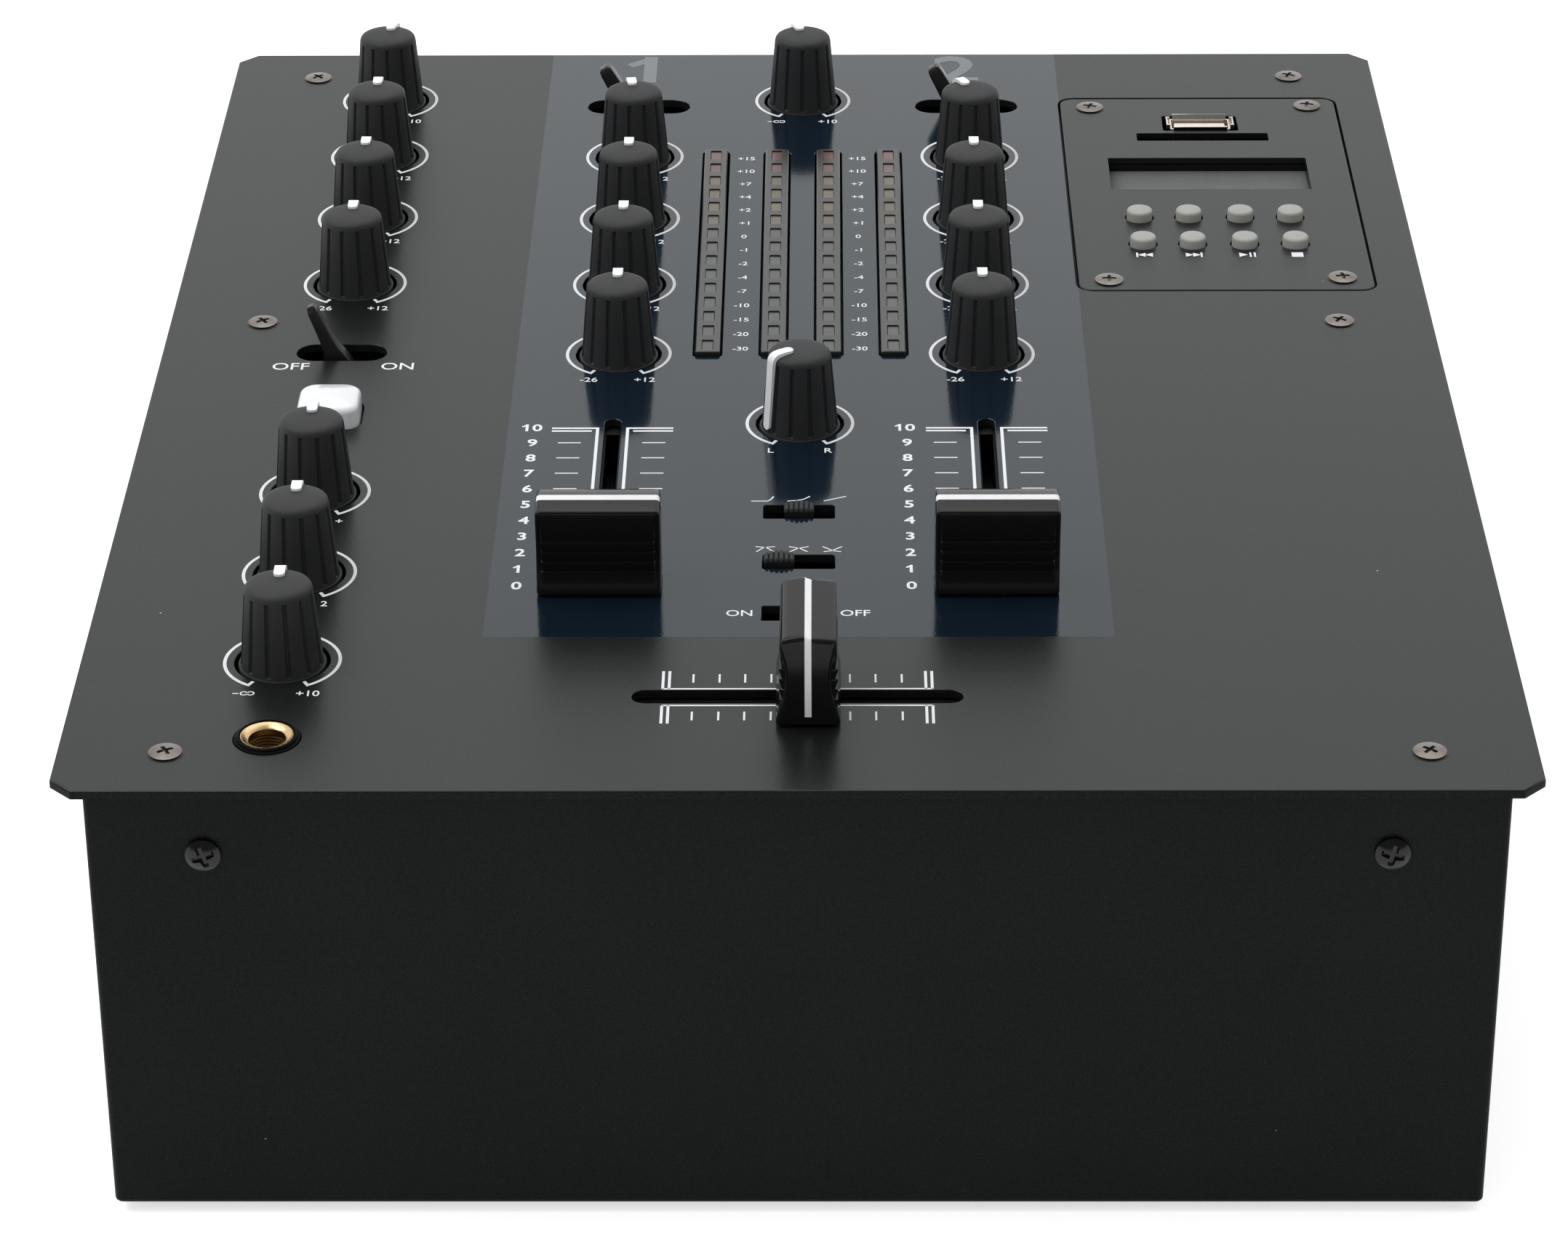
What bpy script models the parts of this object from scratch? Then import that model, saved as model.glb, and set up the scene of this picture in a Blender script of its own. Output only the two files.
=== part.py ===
"""Two-channel DJ mixer with a built-in player: a steel box, a printed faceplate and every control on it.

Metres, +Z up. X runs to the right of the person at the mixer, Y from the front edge to the connectors at
the back, and the feet stand on Z = 0. Heights named DROP are measured down from the faceplate's top.
"""
import math

import bmesh
import bpy
from mathutils import Matrix, Vector

# Faceplate and housing
PLATE_WIDTH = 0.254
PLATE_DEPTH = 0.326
PLATE_THICKNESS = 0.0016
PLATE_CORNER = 0.005
SIDE_OVERHANG = 0.0052
END_OVERHANG = 0.004
TUB_HEIGHT = 0.0848
SHEET = 0.0012
FOOT_HEIGHT = 0.003
FOOT_RADIUS = 0.008
FOOT_BASE_RADIUS = 0.0069
FOOT_SIDES = 16
FOOT_INSET = 0.02
SEAM = 0.0003
SINK = 0.0005
SHARP_ANGLE = 30

# Inner frame that the faceplate and the front wall are screwed to
FRAME_SIDE_FLANGE = 0.02
FRAME_END_FLANGE = 0.005
FRAME_WEB_HEIGHT = 0.0115
FRAME_WEB_INSET = 0.0002

# Rotary knobs: x, distance from the front edge, degrees clockwise from twelve o'clock at rest
MIC_X = -0.0912
CH1_X = -0.0361
CH2_X = 0.036
KNOB_PLACES = {
    "mic_level_knob": (MIC_X, 0.3, 12),
    "mic_high_knob": (MIC_X, 0.269, 0),
    "mic_mid_knob": (MIC_X, 0.2365, 0),
    "mic_low_knob": (MIC_X, 0.2037, 0),
    "phones_tone_knob": (MIC_X, 0.1105, 0),
    "phones_mix_knob": (MIC_X, 0.0782, 0),
    "phones_level_knob": (MIC_X, 0.0453, 0),
    "ch1_gain_knob": (CH1_X, 0.2685, -8),
    "ch1_high_knob": (CH1_X, 0.236, 0),
    "ch1_mid_knob": (CH1_X, 0.2033, 0),
    "ch1_low_knob": (CH1_X, 0.1705, 0),
    "ch2_gain_knob": (CH2_X, 0.2685, -25),
    "ch2_high_knob": (CH2_X, 0.236, 0),
    "ch2_mid_knob": (CH2_X, 0.2033, 0),
    "ch2_low_knob": (CH2_X, 0.1705, 0),
    "master_level_knob": (0.0, 0.2995, -15),
    "master_balance_knob": (0.0, 0.1395, -122),
}
KNOB_HEIGHT = 0.016
KNOB_SKIRT_RADIUS = 0.0078
KNOB_SKIRT_DIP = 0.001
KNOB_BASE_RADIUS = 0.00735
KNOB_BASE_RISE = 0.0003
KNOB_SHOULDER_RADIUS = 0.0064
KNOB_SHOULDER_RISE = 0.0138
KNOB_CROWN_RADIUS = 0.0053
KNOB_CROWN_RISE = 0.0155
KNOB_CLEARANCE = 0.0007
KNOB_HOLE_SIDES = 12
FLUTES = 12
FLUTE_DEPTH = 0.0005
FLUTE_SHARE = 0.35
POINTER_RELIEF = 0.0003
SHAFT_RADIUS = 0.003
SHAFT_SIDES = 6
SHAFT_CLEARANCE = 0.0002
SHAFT_LENGTH = 0.0095
POT_SIZE = 0.011
POT_HEIGHT = 0.0065
BORE_SIDES = 8

# Faders: the caps slide along their slots on flat stems
CAP_LENGTH = 0.0225
CAP_BASE = 0.0113
CAP_TOP = 0.00985
CAP_WAIST = 0.0082
CAP_HEIGHT = 0.0165
CAP_RISE = 0.0015
CAP_EDGE = 0.0008
CAP_FLANK = 0.0042
CAP_SKIRT = 0.0042
RIDGES = 4
RIDGE_RELIEF = 0.0005
RIDGE_VALLEY = 0.3
RIDGE_CREST = 0.75
WAIST_AT_ENDS = 0.45
STEM_WIDTH = 0.008
STEM_THICKNESS = 0.0018
STEM_DEPTH = 0.006
STEM_CLEARANCE = 0.0004
CHANNEL_TRAVEL = 0.06
CHANNEL_LOW = 0.074
CHANNEL_SLOT_WIDTH = 0.0033
CHANNEL_SLOT_END = 0.0035
CROSS_TRAVEL = 0.045
CROSS_REST = 0.0019
CROSS_PLACE = 0.0324
CROSS_SLOT_WIDTH = 0.0046
CROSS_SLOT_END = 0.0025
FADER_BODY_WIDTH = 0.012
FADER_BODY_HEIGHT = 0.009
FADER_BODY_END = 0.01
FADER_FLOOR = 0.001

# Bat-lever switches: x, distance from the front edge, slot length
LEVER_PLACES = {
    "talkover_lever": (MIC_X, 0.1713, 0.018),
    "ch1_source_lever": (CH1_X, 0.2963, 0.0225),
    "ch2_source_lever": (CH2_X, 0.2963, 0.0225),
}
LEVER_SLOT_WIDTH = 0.0075
LEVER_LENGTH = 0.0155
LEVER_LEAN = 22
LEVER_THICKNESS = 0.0034
LEVER_TIP_RADIUS = 0.0012
LEVER_TIP_STEPS = 4
LEVER_NECK_HALF = 0.0018
LEVER_NECK_RISE = 0.0058
LEVER_HUB_RADIUS = 0.003
LEVER_HUB_STEPS = 6
LEVER_HUB_RISE = 0.0024
LEVER_PIVOT_DROP = 0.004
LEVER_SIDE_CLEARANCE = 0.0004
LEVER_BODY_LENGTH = 0.014
LEVER_BODY_WIDTH = 0.008
LEVER_BODY_DROP = 0.005

# Small slide switches: x at rest, distance from the front edge
SLIDER_PLACES = {
    "fader_curve_slider": (0.0, 0.1024),
    "cross_curve_slider": (-0.0036, 0.0825),
    "cross_enable_slider": (0.0036, 0.0628),
}
SLIDER_TRAVEL = 0.0072
SLIDER_LENGTH = 0.0056
SLIDER_WIDTH = 0.004
SLIDER_RISE = 0.0016
SLIDER_ARCH = 0.0004
SLIDER_DROP = 0.0012
SLIDER_TEETH = 6
SLIDER_TOOTH = 0.0004
SLIDER_SLOT_WIDTH = 0.0055
SLIDER_END_CLEARANCE = 0.00025
SLIDER_STEM_LENGTH = 0.003
SLIDER_STEM_WIDTH = 0.0024
SLIDER_STEM_DROP = 0.0072
SLIDER_STEM_CLEARANCE = 0.0003
SLIDER_BODY_WIDTH = 0.0065
SLIDER_BODY_WALL = 0.0012
SLIDER_BODY_DROP = 0.005

# Square push button for the microphone
BUTTON_PLACE = (MIC_X, 0.1435)
BUTTON_SIZE = 0.012
BUTTON_CORNER = 0.0026
BUTTON_EDGE = 0.0016
BUTTON_SEGMENTS = 2
BUTTON_RISE = 0.004
BUTTON_DROP = 0.006
BUTTON_TRAVEL = 0.003
BUTTON_CLEARANCE = 0.0004
BUTTON_STEM = 0.004
BUTTON_STEM_CLEARANCE = 0.0003
BUTTON_BODY_WALL = 0.002

# Level meter: bars of lamps that stand up through windows in the faceplate
METER_XS = (-0.0185, -0.0054, 0.0056, 0.0185)
METER_WINDOW_WIDTH = 0.0058
METER_FRONT = 0.1692
METER_BACK = 0.2712
METER_BAR_CLEARANCE = 0.0004
METER_BAR_PROUD = 0.0009
METER_SEGMENTS = 15
METER_SEGMENT_WIDTH = 0.0022
METER_SEGMENT_LENGTH = 0.0037
METER_SEGMENT_DEPTH = 0.0004
METER_FIRST = 0.1728
METER_PITCH = 0.00676
METER_BOARD_LAP = 0.0016

# Player module let into the faceplate
MODULE_CENTRE = (0.0869, 0.25025)
MODULE_SIZE = (0.0604, 0.1001)
MODULE_CORNER = 0.003
MODULE_GAP = 0.0005
LEDGE_WIDTH = 0.008
LEDGE_LAP = 0.0007
LEDGE_THICKNESS = 0.0012
MODULE_POST_INSET = 0.0061
MODULE_BOARD_DROP = 0.009
MODULE_BOARD_INSET = 0.0015
DISPLAY_CENTRE = (0.08705, 0.25925)
DISPLAY_WINDOW = (0.0425, 0.0165)
DISPLAY_LAP = 0.0018
DISPLAY_DROP = 0.0037
DISPLAY_DISH = 0.0004
USB_CENTRE = (0.0868, 0.2865)
USB_SHELL = (0.0131, 0.0057)
USB_WALL = 0.0004
USB_OPENING = (0.0163, 0.008)
USB_DROP = 0.0002
USB_LENGTH = 0.0142
USB_TONGUE = (0.0111, 0.0019)
USB_TONGUE_OFFSET = 0.0009
USB_TONGUE_DROP = 0.0012
USB_FLOOR = 0.0012
CARD_CENTRE = (0.08695, 0.279)
CARD_SLOT = (0.0285, 0.004)
CARD_CHANNEL = (0.025, 0.0028)
CARD_WALL = 0.0014
CARD_DROP = 0.0022
CARD_LENGTH = 0.022
PLAYER_BUTTON_XS = (0.0709, 0.0812, 0.092, 0.1025)
PLAYER_BUTTON_YS = (0.2364, 0.2229)
PLAYER_BUTTON_RADIUS = 0.0027
PLAYER_BUTTON_RISE = 0.002
PLAYER_BUTTON_EDGE = 0.0004
PLAYER_BUTTON_TRAVEL = 0.0008
PLAYER_BUTTON_CLEARANCE = 0.0003
PLAYER_BUTTON_FLANGE = 0.0008
PLAYER_BUTTON_SIDES = 10
KEY_SWITCH_SIZE = 0.006

# Circuit board under the faceplate, hung on posts
BOARD_DROP = 0.014
BOARD_THICKNESS = 0.0016
BOARD_LEFT = -0.0985
BOARD_RIGHT = 0.052
BOARD_FRONT = 0.036
BOARD_BACK = 0.3065
POST_RADIUS = 0.0025
POST_SIDES = 8
POST_XS = (-0.064, 0.0485)
POST_YS = (0.302, 0.186, 0.055)

# Quarter-inch jacks: headphones on the faceplate, microphone at the back
PHONES_PLACE = (-0.0913, 0.018)
JACK_BUSH_RADIUS = 0.0056
JACK_BORE_RADIUS = 0.00325
JACK_MOUTH_RADIUS = 0.0047
JACK_MOUTH_DEPTH = 0.0012
JACK_PROUD = 0.0009
JACK_CLEARANCE = 0.0003
JACK_BODY = 0.013
JACK_LENGTH = 0.028
JACK_FLOOR = 0.002
JACK_SIDES = 12

# Connectors on the back wall, by x, in one row at a depth under the tub's rim
REAR_ROW_DROP = 0.0398
MIC_JACK_X = -0.098
CH1_RCA_X = -0.062
GROUND_X = -0.032
CH2_RCA_X = -0.002
OUTPUT_RCA_X = 0.034
INLET_X = 0.088
RCA_REACH = 0.009
RCA_RADIUS = 0.00415
RCA_PIN_RADIUS = 0.00165
RCA_PIN_DEPTH = 0.008
RCA_PITCH = 0.014
RCA_BLOCK = 0.0305
RCA_BLOCK_DEPTH = 0.012
RCA_CLEARANCE = 0.0005
RCA_SIDES = 8
GROUND_SHANK_RADIUS = 0.0018
GROUND_CLEARANCE = 0.0003
GROUND_FLANGE_RADIUS = 0.005
GROUND_HEAD_RADIUS = 0.0045
GROUND_NECK_RADIUS = 0.003
GROUND_FLANGE_TOP = 0.0016
GROUND_HEAD_LOW = 0.0028
GROUND_HEAD_TOP = 0.0085
GROUND_SHANK_DEPTH = 0.006
GROUND_SIDES = 12

# Mains inlet with its rocker switch, one moulding
INLET_FLANGE = (0.05, 0.03)
INLET_FLANGE_CORNER = 0.002
INLET_FLANGE_THICKNESS = 0.0022
INLET_BODY = (0.0464, 0.0264)
INLET_DEPTH = 0.022
INLET_CLEARANCE = 0.0004
SOCKET_X = -0.0105
SOCKET_SIZE = (0.0244, 0.0166)
SOCKET_CHAMFER = 0.005
SOCKET_DEPTH = 0.0155
PIN_SIZE = (0.002, 0.004)
PIN_LENGTH = 0.0125
PIN_SPREAD = 0.007
PIN_RAISE = 0.002
ROCKER_X = 0.0135
ROCKER_SIZE = (0.0144, 0.0184)
ROCKER_TILT = 8
ROCKER_PEAK = 0.0012
ROCKER_DIP = 0.0018
ROCKER_DEPTH = 0.007
ROCKER_HUB = 0.006
ROCKER_PIVOT = -0.003
ROCKER_CLEARANCE = 0.0006
ROCKER_SEAT_DEPTH = 0.0125

# Mains transformer on the floor of the tub
TRANSFORMER_PLACE = (0.083, 0.245)
TRANSFORMER_CORE = (0.05, 0.036, 0.038)
TRANSFORMER_COIL = (0.03, 0.05, 0.026)
TRANSFORMER_STRAP = (0.068, 0.018, 0.0015)

# Places worked out from the sizes above
TUB_WIDTH = PLATE_WIDTH - 2 * SIDE_OVERHANG
TUB_DEPTH = PLATE_DEPTH - 2 * END_OVERHANG
TUB_TOP = FOOT_HEIGHT + TUB_HEIGHT
PLATE_UNDER = TUB_TOP + SEAM
PLATE_TOP = PLATE_UNDER + PLATE_THICKNESS
UNDERSIDE_DROP = PLATE_THICKNESS + SEAM
REAR_REACH = max(RCA_REACH - END_OVERHANG, 0.0)
FRONT_EDGE = -(PLATE_DEPTH + REAR_REACH) / 2
REAR_WALL = FRONT_EDGE + PLATE_DEPTH - END_OVERHANG
REAR_HEIGHT = TUB_TOP - REAR_ROW_DROP
MODULE_THICKNESS = PLATE_THICKNESS - SEAM
KNOB_HOLE_RADIUS = KNOB_SKIRT_RADIUS + KNOB_CLEARANCE
BUTTON_BODY_DROP = BUTTON_DROP + BUTTON_TRAVEL + BUTTON_CLEARANCE
BUTTON_STEM_DROP = BOARD_DROP - BUTTON_TRAVEL - BUTTON_CLEARANCE
PLAYER_BUTTON_FOOT = MODULE_THICKNESS + SEAM + PLAYER_BUTTON_FLANGE
KEY_SWITCH_DROP = PLAYER_BUTTON_FOOT + PLAYER_BUTTON_TRAVEL + SEAM
WELD_DISTANCE = 1e-6
OUTWARD = 0.001
COARSE_STEPS = 2

# Turns a piece that is modelled along +Z to face the back, or lays an outline's height along Z
FACING_BACK = Matrix(((-1, 0, 0, 0), (0, 0, 1, 0), (0, 1, 0, 0), (0, 0, 0, 1)))
OUTLINE_IN_XZ = Matrix(((1, 0, 0, 0), (0, 0, -1, 0), (0, 1, 0, 0), (0, 0, 0, 1)))
OUTLINE_IN_YZ = Matrix(((0, 0, 1, 0), (1, 0, 0, 0), (0, 1, 0, 0), (0, 0, 0, 1)))


def on_plate(place, drop=0.0):
    """A point given by x and its distance from the front edge, at a depth under the faceplate's top."""
    return Vector((place[0], FRONT_EDGE + place[1], PLATE_TOP - drop))


def flat(place):
    """The x and y of a place on the faceplate."""
    return (place[0], FRONT_EDGE + place[1])


def clear_scene():
    for existing in list(bpy.data.objects):
        bpy.data.objects.remove(existing, do_unlink=True)


def round_outline(centre, radius, sides):
    turns = (2 * math.pi * (k + 0.5) / sides for k in range(sides))
    return [(centre[0] + radius * math.cos(t), centre[1] + radius * math.sin(t)) for t in turns]


def arc(centre, radius, start, end, steps):
    """Points of an arc between two angles in degrees, both ends included."""
    turns = (math.radians(start + (end - start) * k / steps) for k in range(steps + 1))
    return [(centre[0] + radius * math.cos(t), centre[1] + radius * math.sin(t)) for t in turns]


def rectangle(centre, size):
    half_x, half_y = size[0] / 2, size[1] / 2
    corners = ((1, 1), (-1, 1), (-1, -1), (1, -1))
    return [(centre[0] + sx * half_x, centre[1] + sy * half_y) for sx, sy in corners]


def rounded_rectangle(centre, size, radius, steps=3):
    points = []
    for quarter, (sx, sy) in enumerate(((1, 1), (-1, 1), (-1, -1), (1, -1))):
        corner = (centre[0] + sx * (size[0] / 2 - radius), centre[1] + sy * (size[1] / 2 - radius))
        points += arc(corner, radius, 90 * quarter, 90 * quarter + 90, steps)
    return points


def slot_outline(centre, length, width, along_y=False, steps=4):
    """A slot with round ends, along X or along Y."""
    reach, radius = (length - width) / 2, width / 2
    points = arc((reach, 0), radius, -90, 90, steps) + arc((-reach, 0), radius, 90, 270, steps)
    if along_y:
        points = [(-y, x) for x, y in points]
    return [(centre[0] + x, centre[1] + y) for x, y in points]


def evaluated_mesh(obj, name):
    """The mesh that an object's curve or modifiers give, welded, with its faces turned outwards."""
    graph = bpy.context.evaluated_depsgraph_get()
    mesh = bpy.data.meshes.new_from_object(obj.evaluated_get(graph))
    mesh.name = name
    bm = bmesh.new()
    bm.from_mesh(mesh)
    bmesh.ops.remove_doubles(bm, verts=bm.verts, dist=WELD_DISTANCE)
    bmesh.ops.recalc_face_normals(bm, faces=bm.faces)
    bm.to_mesh(mesh)
    bm.free()
    bpy.data.objects.remove(obj, do_unlink=True)
    return mesh


def working_object(data):
    obj = bpy.data.objects.new("working", data)
    bpy.context.scene.collection.objects.link(obj)
    bpy.context.view_layer.update()
    return obj


def prism(outline, low, high, holes=()):
    """A flat outline, with holes, as a solid from one height to another."""
    curve = bpy.data.curves.new("outline", "CURVE")
    curve.dimensions = "2D"
    curve.fill_mode = "BOTH"
    curve.extrude = (high - low) / 2
    for loop in (outline, *holes):
        spline = curve.splines.new("POLY")
        spline.points.add(len(loop) - 1)
        for point, (x, y) in zip(spline.points, loop):
            point.co = (x, y, 0, 1)
        spline.use_cyclic_u = True
    mesh = evaluated_mesh(working_object(curve), "prism")
    mesh.transform(Matrix.Translation((0, 0, (low + high) / 2)))
    return mesh


def box(centre, size):
    bm = bmesh.new()
    bmesh.ops.create_cube(bm, size=1)
    bmesh.ops.scale(bm, vec=size, verts=bm.verts)
    bmesh.ops.translate(bm, vec=centre, verts=bm.verts)
    return mesh_from(bm)


def rod(centre, radius, low, high, sides):
    """An upright cylinder with a flat side towards +X."""
    return prism(round_outline(centre, radius, sides), low, high)


def mesh_from(bm, name="piece"):
    mesh = bpy.data.meshes.new(name)
    bm.to_mesh(mesh)
    bm.free()
    return mesh


def turned(profile, sides):
    """A profile of (radius, height) points, from its top to its bottom, turned about Z."""
    mesh = bpy.data.meshes.new("profile")
    points = [(radius, 0, height) for radius, height in profile]
    mesh.from_pydata(points, [(k, k + 1) for k in range(len(points) - 1)], [])
    obj = working_object(mesh)
    screw = obj.modifiers.new("turn", "SCREW")
    screw.steps = sides
    screw.render_steps = sides
    screw.use_merge_vertices = True
    screw.merge_threshold = WELD_DISTANCE
    return evaluated_mesh(obj, "turned")


def loft(sections):
    """A closed solid through rings of as many points each. Points that fall together are merged."""
    bm = bmesh.new()
    rings = [[bm.verts.new(point) for point in section] for section in sections]
    for lower, upper in zip(rings, rings[1:]):
        count = len(lower)
        for k in range(count):
            after = (k + 1) % count
            bm.faces.new((lower[k], lower[after], upper[after], upper[k]))
    bm.faces.new(rings[0][::-1])
    bm.faces.new(rings[-1])
    bmesh.ops.remove_doubles(bm, verts=bm.verts, dist=WELD_DISTANCE)
    bmesh.ops.recalc_face_normals(bm, faces=bm.faces)
    return mesh_from(bm)


def combined(base, tools, operation):
    """A mesh with others joined to it or cut out of it, one after another."""
    obj = working_object(base)
    helpers = []
    for tool in tools:
        helper = working_object(tool)
        helpers.append(helper)
        boolean = obj.modifiers.new("combine", "BOOLEAN")
        boolean.operation = operation
        boolean.solver = "EXACT"
        boolean.object = helper
    mesh = evaluated_mesh(obj, "combined")
    for helper in helpers:
        bpy.data.objects.remove(helper, do_unlink=True)
    return mesh


def fused(base, *tools):
    return combined(base, tools, "UNION")


def cut(base, *tools):
    return combined(base, tools, "DIFFERENCE")


def moved(mesh, offset):
    mesh.transform(Matrix.Translation(offset))
    return mesh


def finish(name, colour, roughness, metallic=0.0):
    material = bpy.data.materials.new(name)
    material.use_nodes = True
    shader = material.node_tree.nodes["Principled BSDF"]
    shader.inputs["Base Color"].default_value = (*colour, 1)
    shader.inputs["Roughness"].default_value = roughness
    shader.inputs["Metallic"].default_value = metallic
    return material


def place(name, mesh, material, location=(0, 0, 0), turn=None):
    """Puts a piece in the mixer's collection, at its place."""
    obj = bpy.data.objects.new(name, mesh)
    MIXER.objects.link(obj)
    obj.location = location
    if turn is not None:
        obj.rotation_euler = turn.to_euler()
    if not mesh.materials:
        mesh.materials.append(material)
    mesh.shade_smooth()
    mesh.set_sharp_from_angle(angle=math.radians(SHARP_ANGLE))
    return obj


def slider_slot_length():
    return SLIDER_TRAVEL + SLIDER_LENGTH + 2 * SLIDER_END_CLEARANCE


def channel_slot_centre():
    return CHANNEL_LOW + CHANNEL_TRAVEL / 2


def build_top_plate():
    """The faceplate, with a hole for every control and a welded ledge under the player's cut-out."""
    holes = [round_outline(flat(spot), KNOB_HOLE_RADIUS, KNOB_HOLE_SIDES) for spot in KNOB_PLACES.values()]
    for x, y, length in LEVER_PLACES.values():
        holes.append(slot_outline(flat((x, y)), length, LEVER_SLOT_WIDTH))
    for _, y in SLIDER_PLACES.values():
        holes.append(rectangle(flat((0, y)), (slider_slot_length(), SLIDER_SLOT_WIDTH)))
    channel_length = CHANNEL_TRAVEL + STEM_WIDTH + 2 * CHANNEL_SLOT_END
    for x in (CH1_X, CH2_X):
        middle = flat((x, channel_slot_centre()))
        holes.append(slot_outline(middle, channel_length, CHANNEL_SLOT_WIDTH, along_y=True))
    cross_length = CROSS_TRAVEL + STEM_WIDTH + 2 * CROSS_SLOT_END
    holes.append(slot_outline(flat((0, CROSS_PLACE)), cross_length, CROSS_SLOT_WIDTH))
    for x in METER_XS:
        window = (METER_WINDOW_WIDTH, METER_BACK - METER_FRONT)
        holes.append(rectangle(flat((x, (METER_FRONT + METER_BACK) / 2)), window))
    button_hole = BUTTON_SIZE + 2 * BUTTON_CLEARANCE
    corner = BUTTON_CORNER + BUTTON_CLEARANCE
    holes.append(rounded_rectangle(flat(BUTTON_PLACE), (button_hole, button_hole), corner, COARSE_STEPS))
    holes.append(round_outline(flat(PHONES_PLACE), JACK_BUSH_RADIUS + JACK_CLEARANCE, JACK_SIDES))
    cutters = [prism(hole, PLATE_UNDER - OUTWARD, PLATE_TOP + OUTWARD) for hole in holes]

    centre = flat(MODULE_CENTRE)
    pocket = [side + 2 * MODULE_GAP for side in MODULE_SIZE]
    slab = [side + 2 * LEDGE_LAP for side in pocket]
    opening = [side - 2 * LEDGE_WIDTH for side in MODULE_SIZE]
    ledge_low = PLATE_UNDER - LEDGE_THICKNESS
    pocket_outline = rounded_rectangle(centre, pocket, MODULE_CORNER + MODULE_GAP)
    cutters.append(prism(pocket_outline, PLATE_UNDER, PLATE_TOP + OUTWARD))
    cutters.append(prism(rectangle(centre, opening), ledge_low - OUTWARD, PLATE_TOP))

    outline = rounded_rectangle(flat((0, PLATE_DEPTH / 2)), (PLATE_WIDTH, PLATE_DEPTH), PLATE_CORNER)
    plate = fused(
        prism(outline, PLATE_UNDER, PLATE_TOP),
        prism(rectangle(centre, slab), ledge_low, PLATE_UNDER + SINK),
    )
    plate = cut(plate, *cutters)
    place("top_plate", plate, BLACK_PAINT)


def build_tub():
    """The folded steel box under the faceplate: floor and four walls, with the connectors' holes."""
    bm = bmesh.new()
    bmesh.ops.create_cube(bm, size=1)
    top = max(bm.faces, key=lambda face: face.normal.z)
    bmesh.ops.delete(bm, geom=[top], context="FACES_ONLY")
    bmesh.ops.scale(bm, vec=(TUB_WIDTH, TUB_DEPTH, TUB_HEIGHT), verts=bm.verts)
    middle = (0, REAR_WALL - TUB_DEPTH / 2, FOOT_HEIGHT + TUB_HEIGHT / 2)
    bmesh.ops.translate(bm, vec=middle, verts=bm.verts)
    shell = working_object(mesh_from(bm))
    thickness = shell.modifiers.new("sheet", "SOLIDIFY")
    thickness.thickness = SHEET
    thickness.offset = -1
    thickness.use_even_offset = True
    tub = evaluated_mesh(shell, "tub")

    holes = []
    post_hole = round_outline((0, 0), RCA_RADIUS + RCA_CLEARANCE, RCA_SIDES)
    for x in (CH1_RCA_X, CH2_RCA_X, OUTPUT_RCA_X):
        for spot in rca_posts():
            holes.append((x - spot[0], spot[1], post_hole))
    jack_hole = round_outline((0, 0), JACK_BUSH_RADIUS + JACK_CLEARANCE, JACK_SIDES)
    holes.append((MIC_JACK_X, 0, jack_hole))
    ground_hole = round_outline((0, 0), GROUND_SHANK_RADIUS + GROUND_CLEARANCE, GROUND_SIDES)
    holes.append((GROUND_X, 0, ground_hole))
    inlet_hole = rectangle((0, 0), [side + 2 * INLET_CLEARANCE for side in INLET_BODY])
    holes.append((INLET_X, 0, inlet_hole))
    cutters = []
    for x, rise, outline in holes:
        cutter = prism(outline, -SHEET - OUTWARD, OUTWARD)
        cutter.transform(FACING_BACK)
        cutters.append(moved(cutter, rear_spot(x, rise)))
    place("chassis_tub", cut(tub, *cutters), BLACK_PAINT)


def rear_spot(x, rise=0.0):
    """A point on the back wall's outer face."""
    return Vector((x, REAR_WALL, REAR_HEIGHT + rise))


def build_top_frame():
    """A frame of angle steel under the faceplate's rim, cut back beside the player."""
    half_x = TUB_WIDTH / 2 - SHEET - SEAM
    half_y = TUB_DEPTH / 2 - SHEET - SEAM
    middle = (0, REAR_WALL - TUB_DEPTH / 2)
    front, back = middle[1] - half_y, middle[1] + half_y
    flange_x = half_x - FRAME_SIDE_FLANGE
    notch_x = half_x - SHEET - 2 * FRAME_WEB_INSET
    notch_front = flat(MODULE_CENTRE)[1] - MODULE_SIZE[1] / 2 - FRAME_END_FLANGE
    notch_back = flat(MODULE_CENTRE)[1] + MODULE_SIZE[1] / 2 + FRAME_END_FLANGE
    inside = [
        (-flange_x, front + FRAME_END_FLANGE),
        (flange_x, front + FRAME_END_FLANGE),
        (flange_x, notch_front),
        (notch_x, notch_front),
        (notch_x, notch_back),
        (flange_x, notch_back),
        (flange_x, back - FRAME_END_FLANGE),
        (-flange_x, back - FRAME_END_FLANGE),
    ]
    high = PLATE_UNDER - SEAM
    flange = prism(rectangle(middle, (2 * half_x, 2 * half_y)), high - SHEET, high, [inside])
    web_x, web_y = half_x - FRAME_WEB_INSET, half_y - FRAME_WEB_INSET
    hollow = rectangle(middle, (2 * (web_x - SHEET), 2 * (web_y - SHEET)))
    web_high = high - SHEET / 2
    web_outline = rectangle(middle, (2 * web_x, 2 * web_y))
    web = prism(web_outline, web_high - FRAME_WEB_HEIGHT, web_high, [hollow])
    place("top_frame", fused(flange, web), ZINC)


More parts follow.
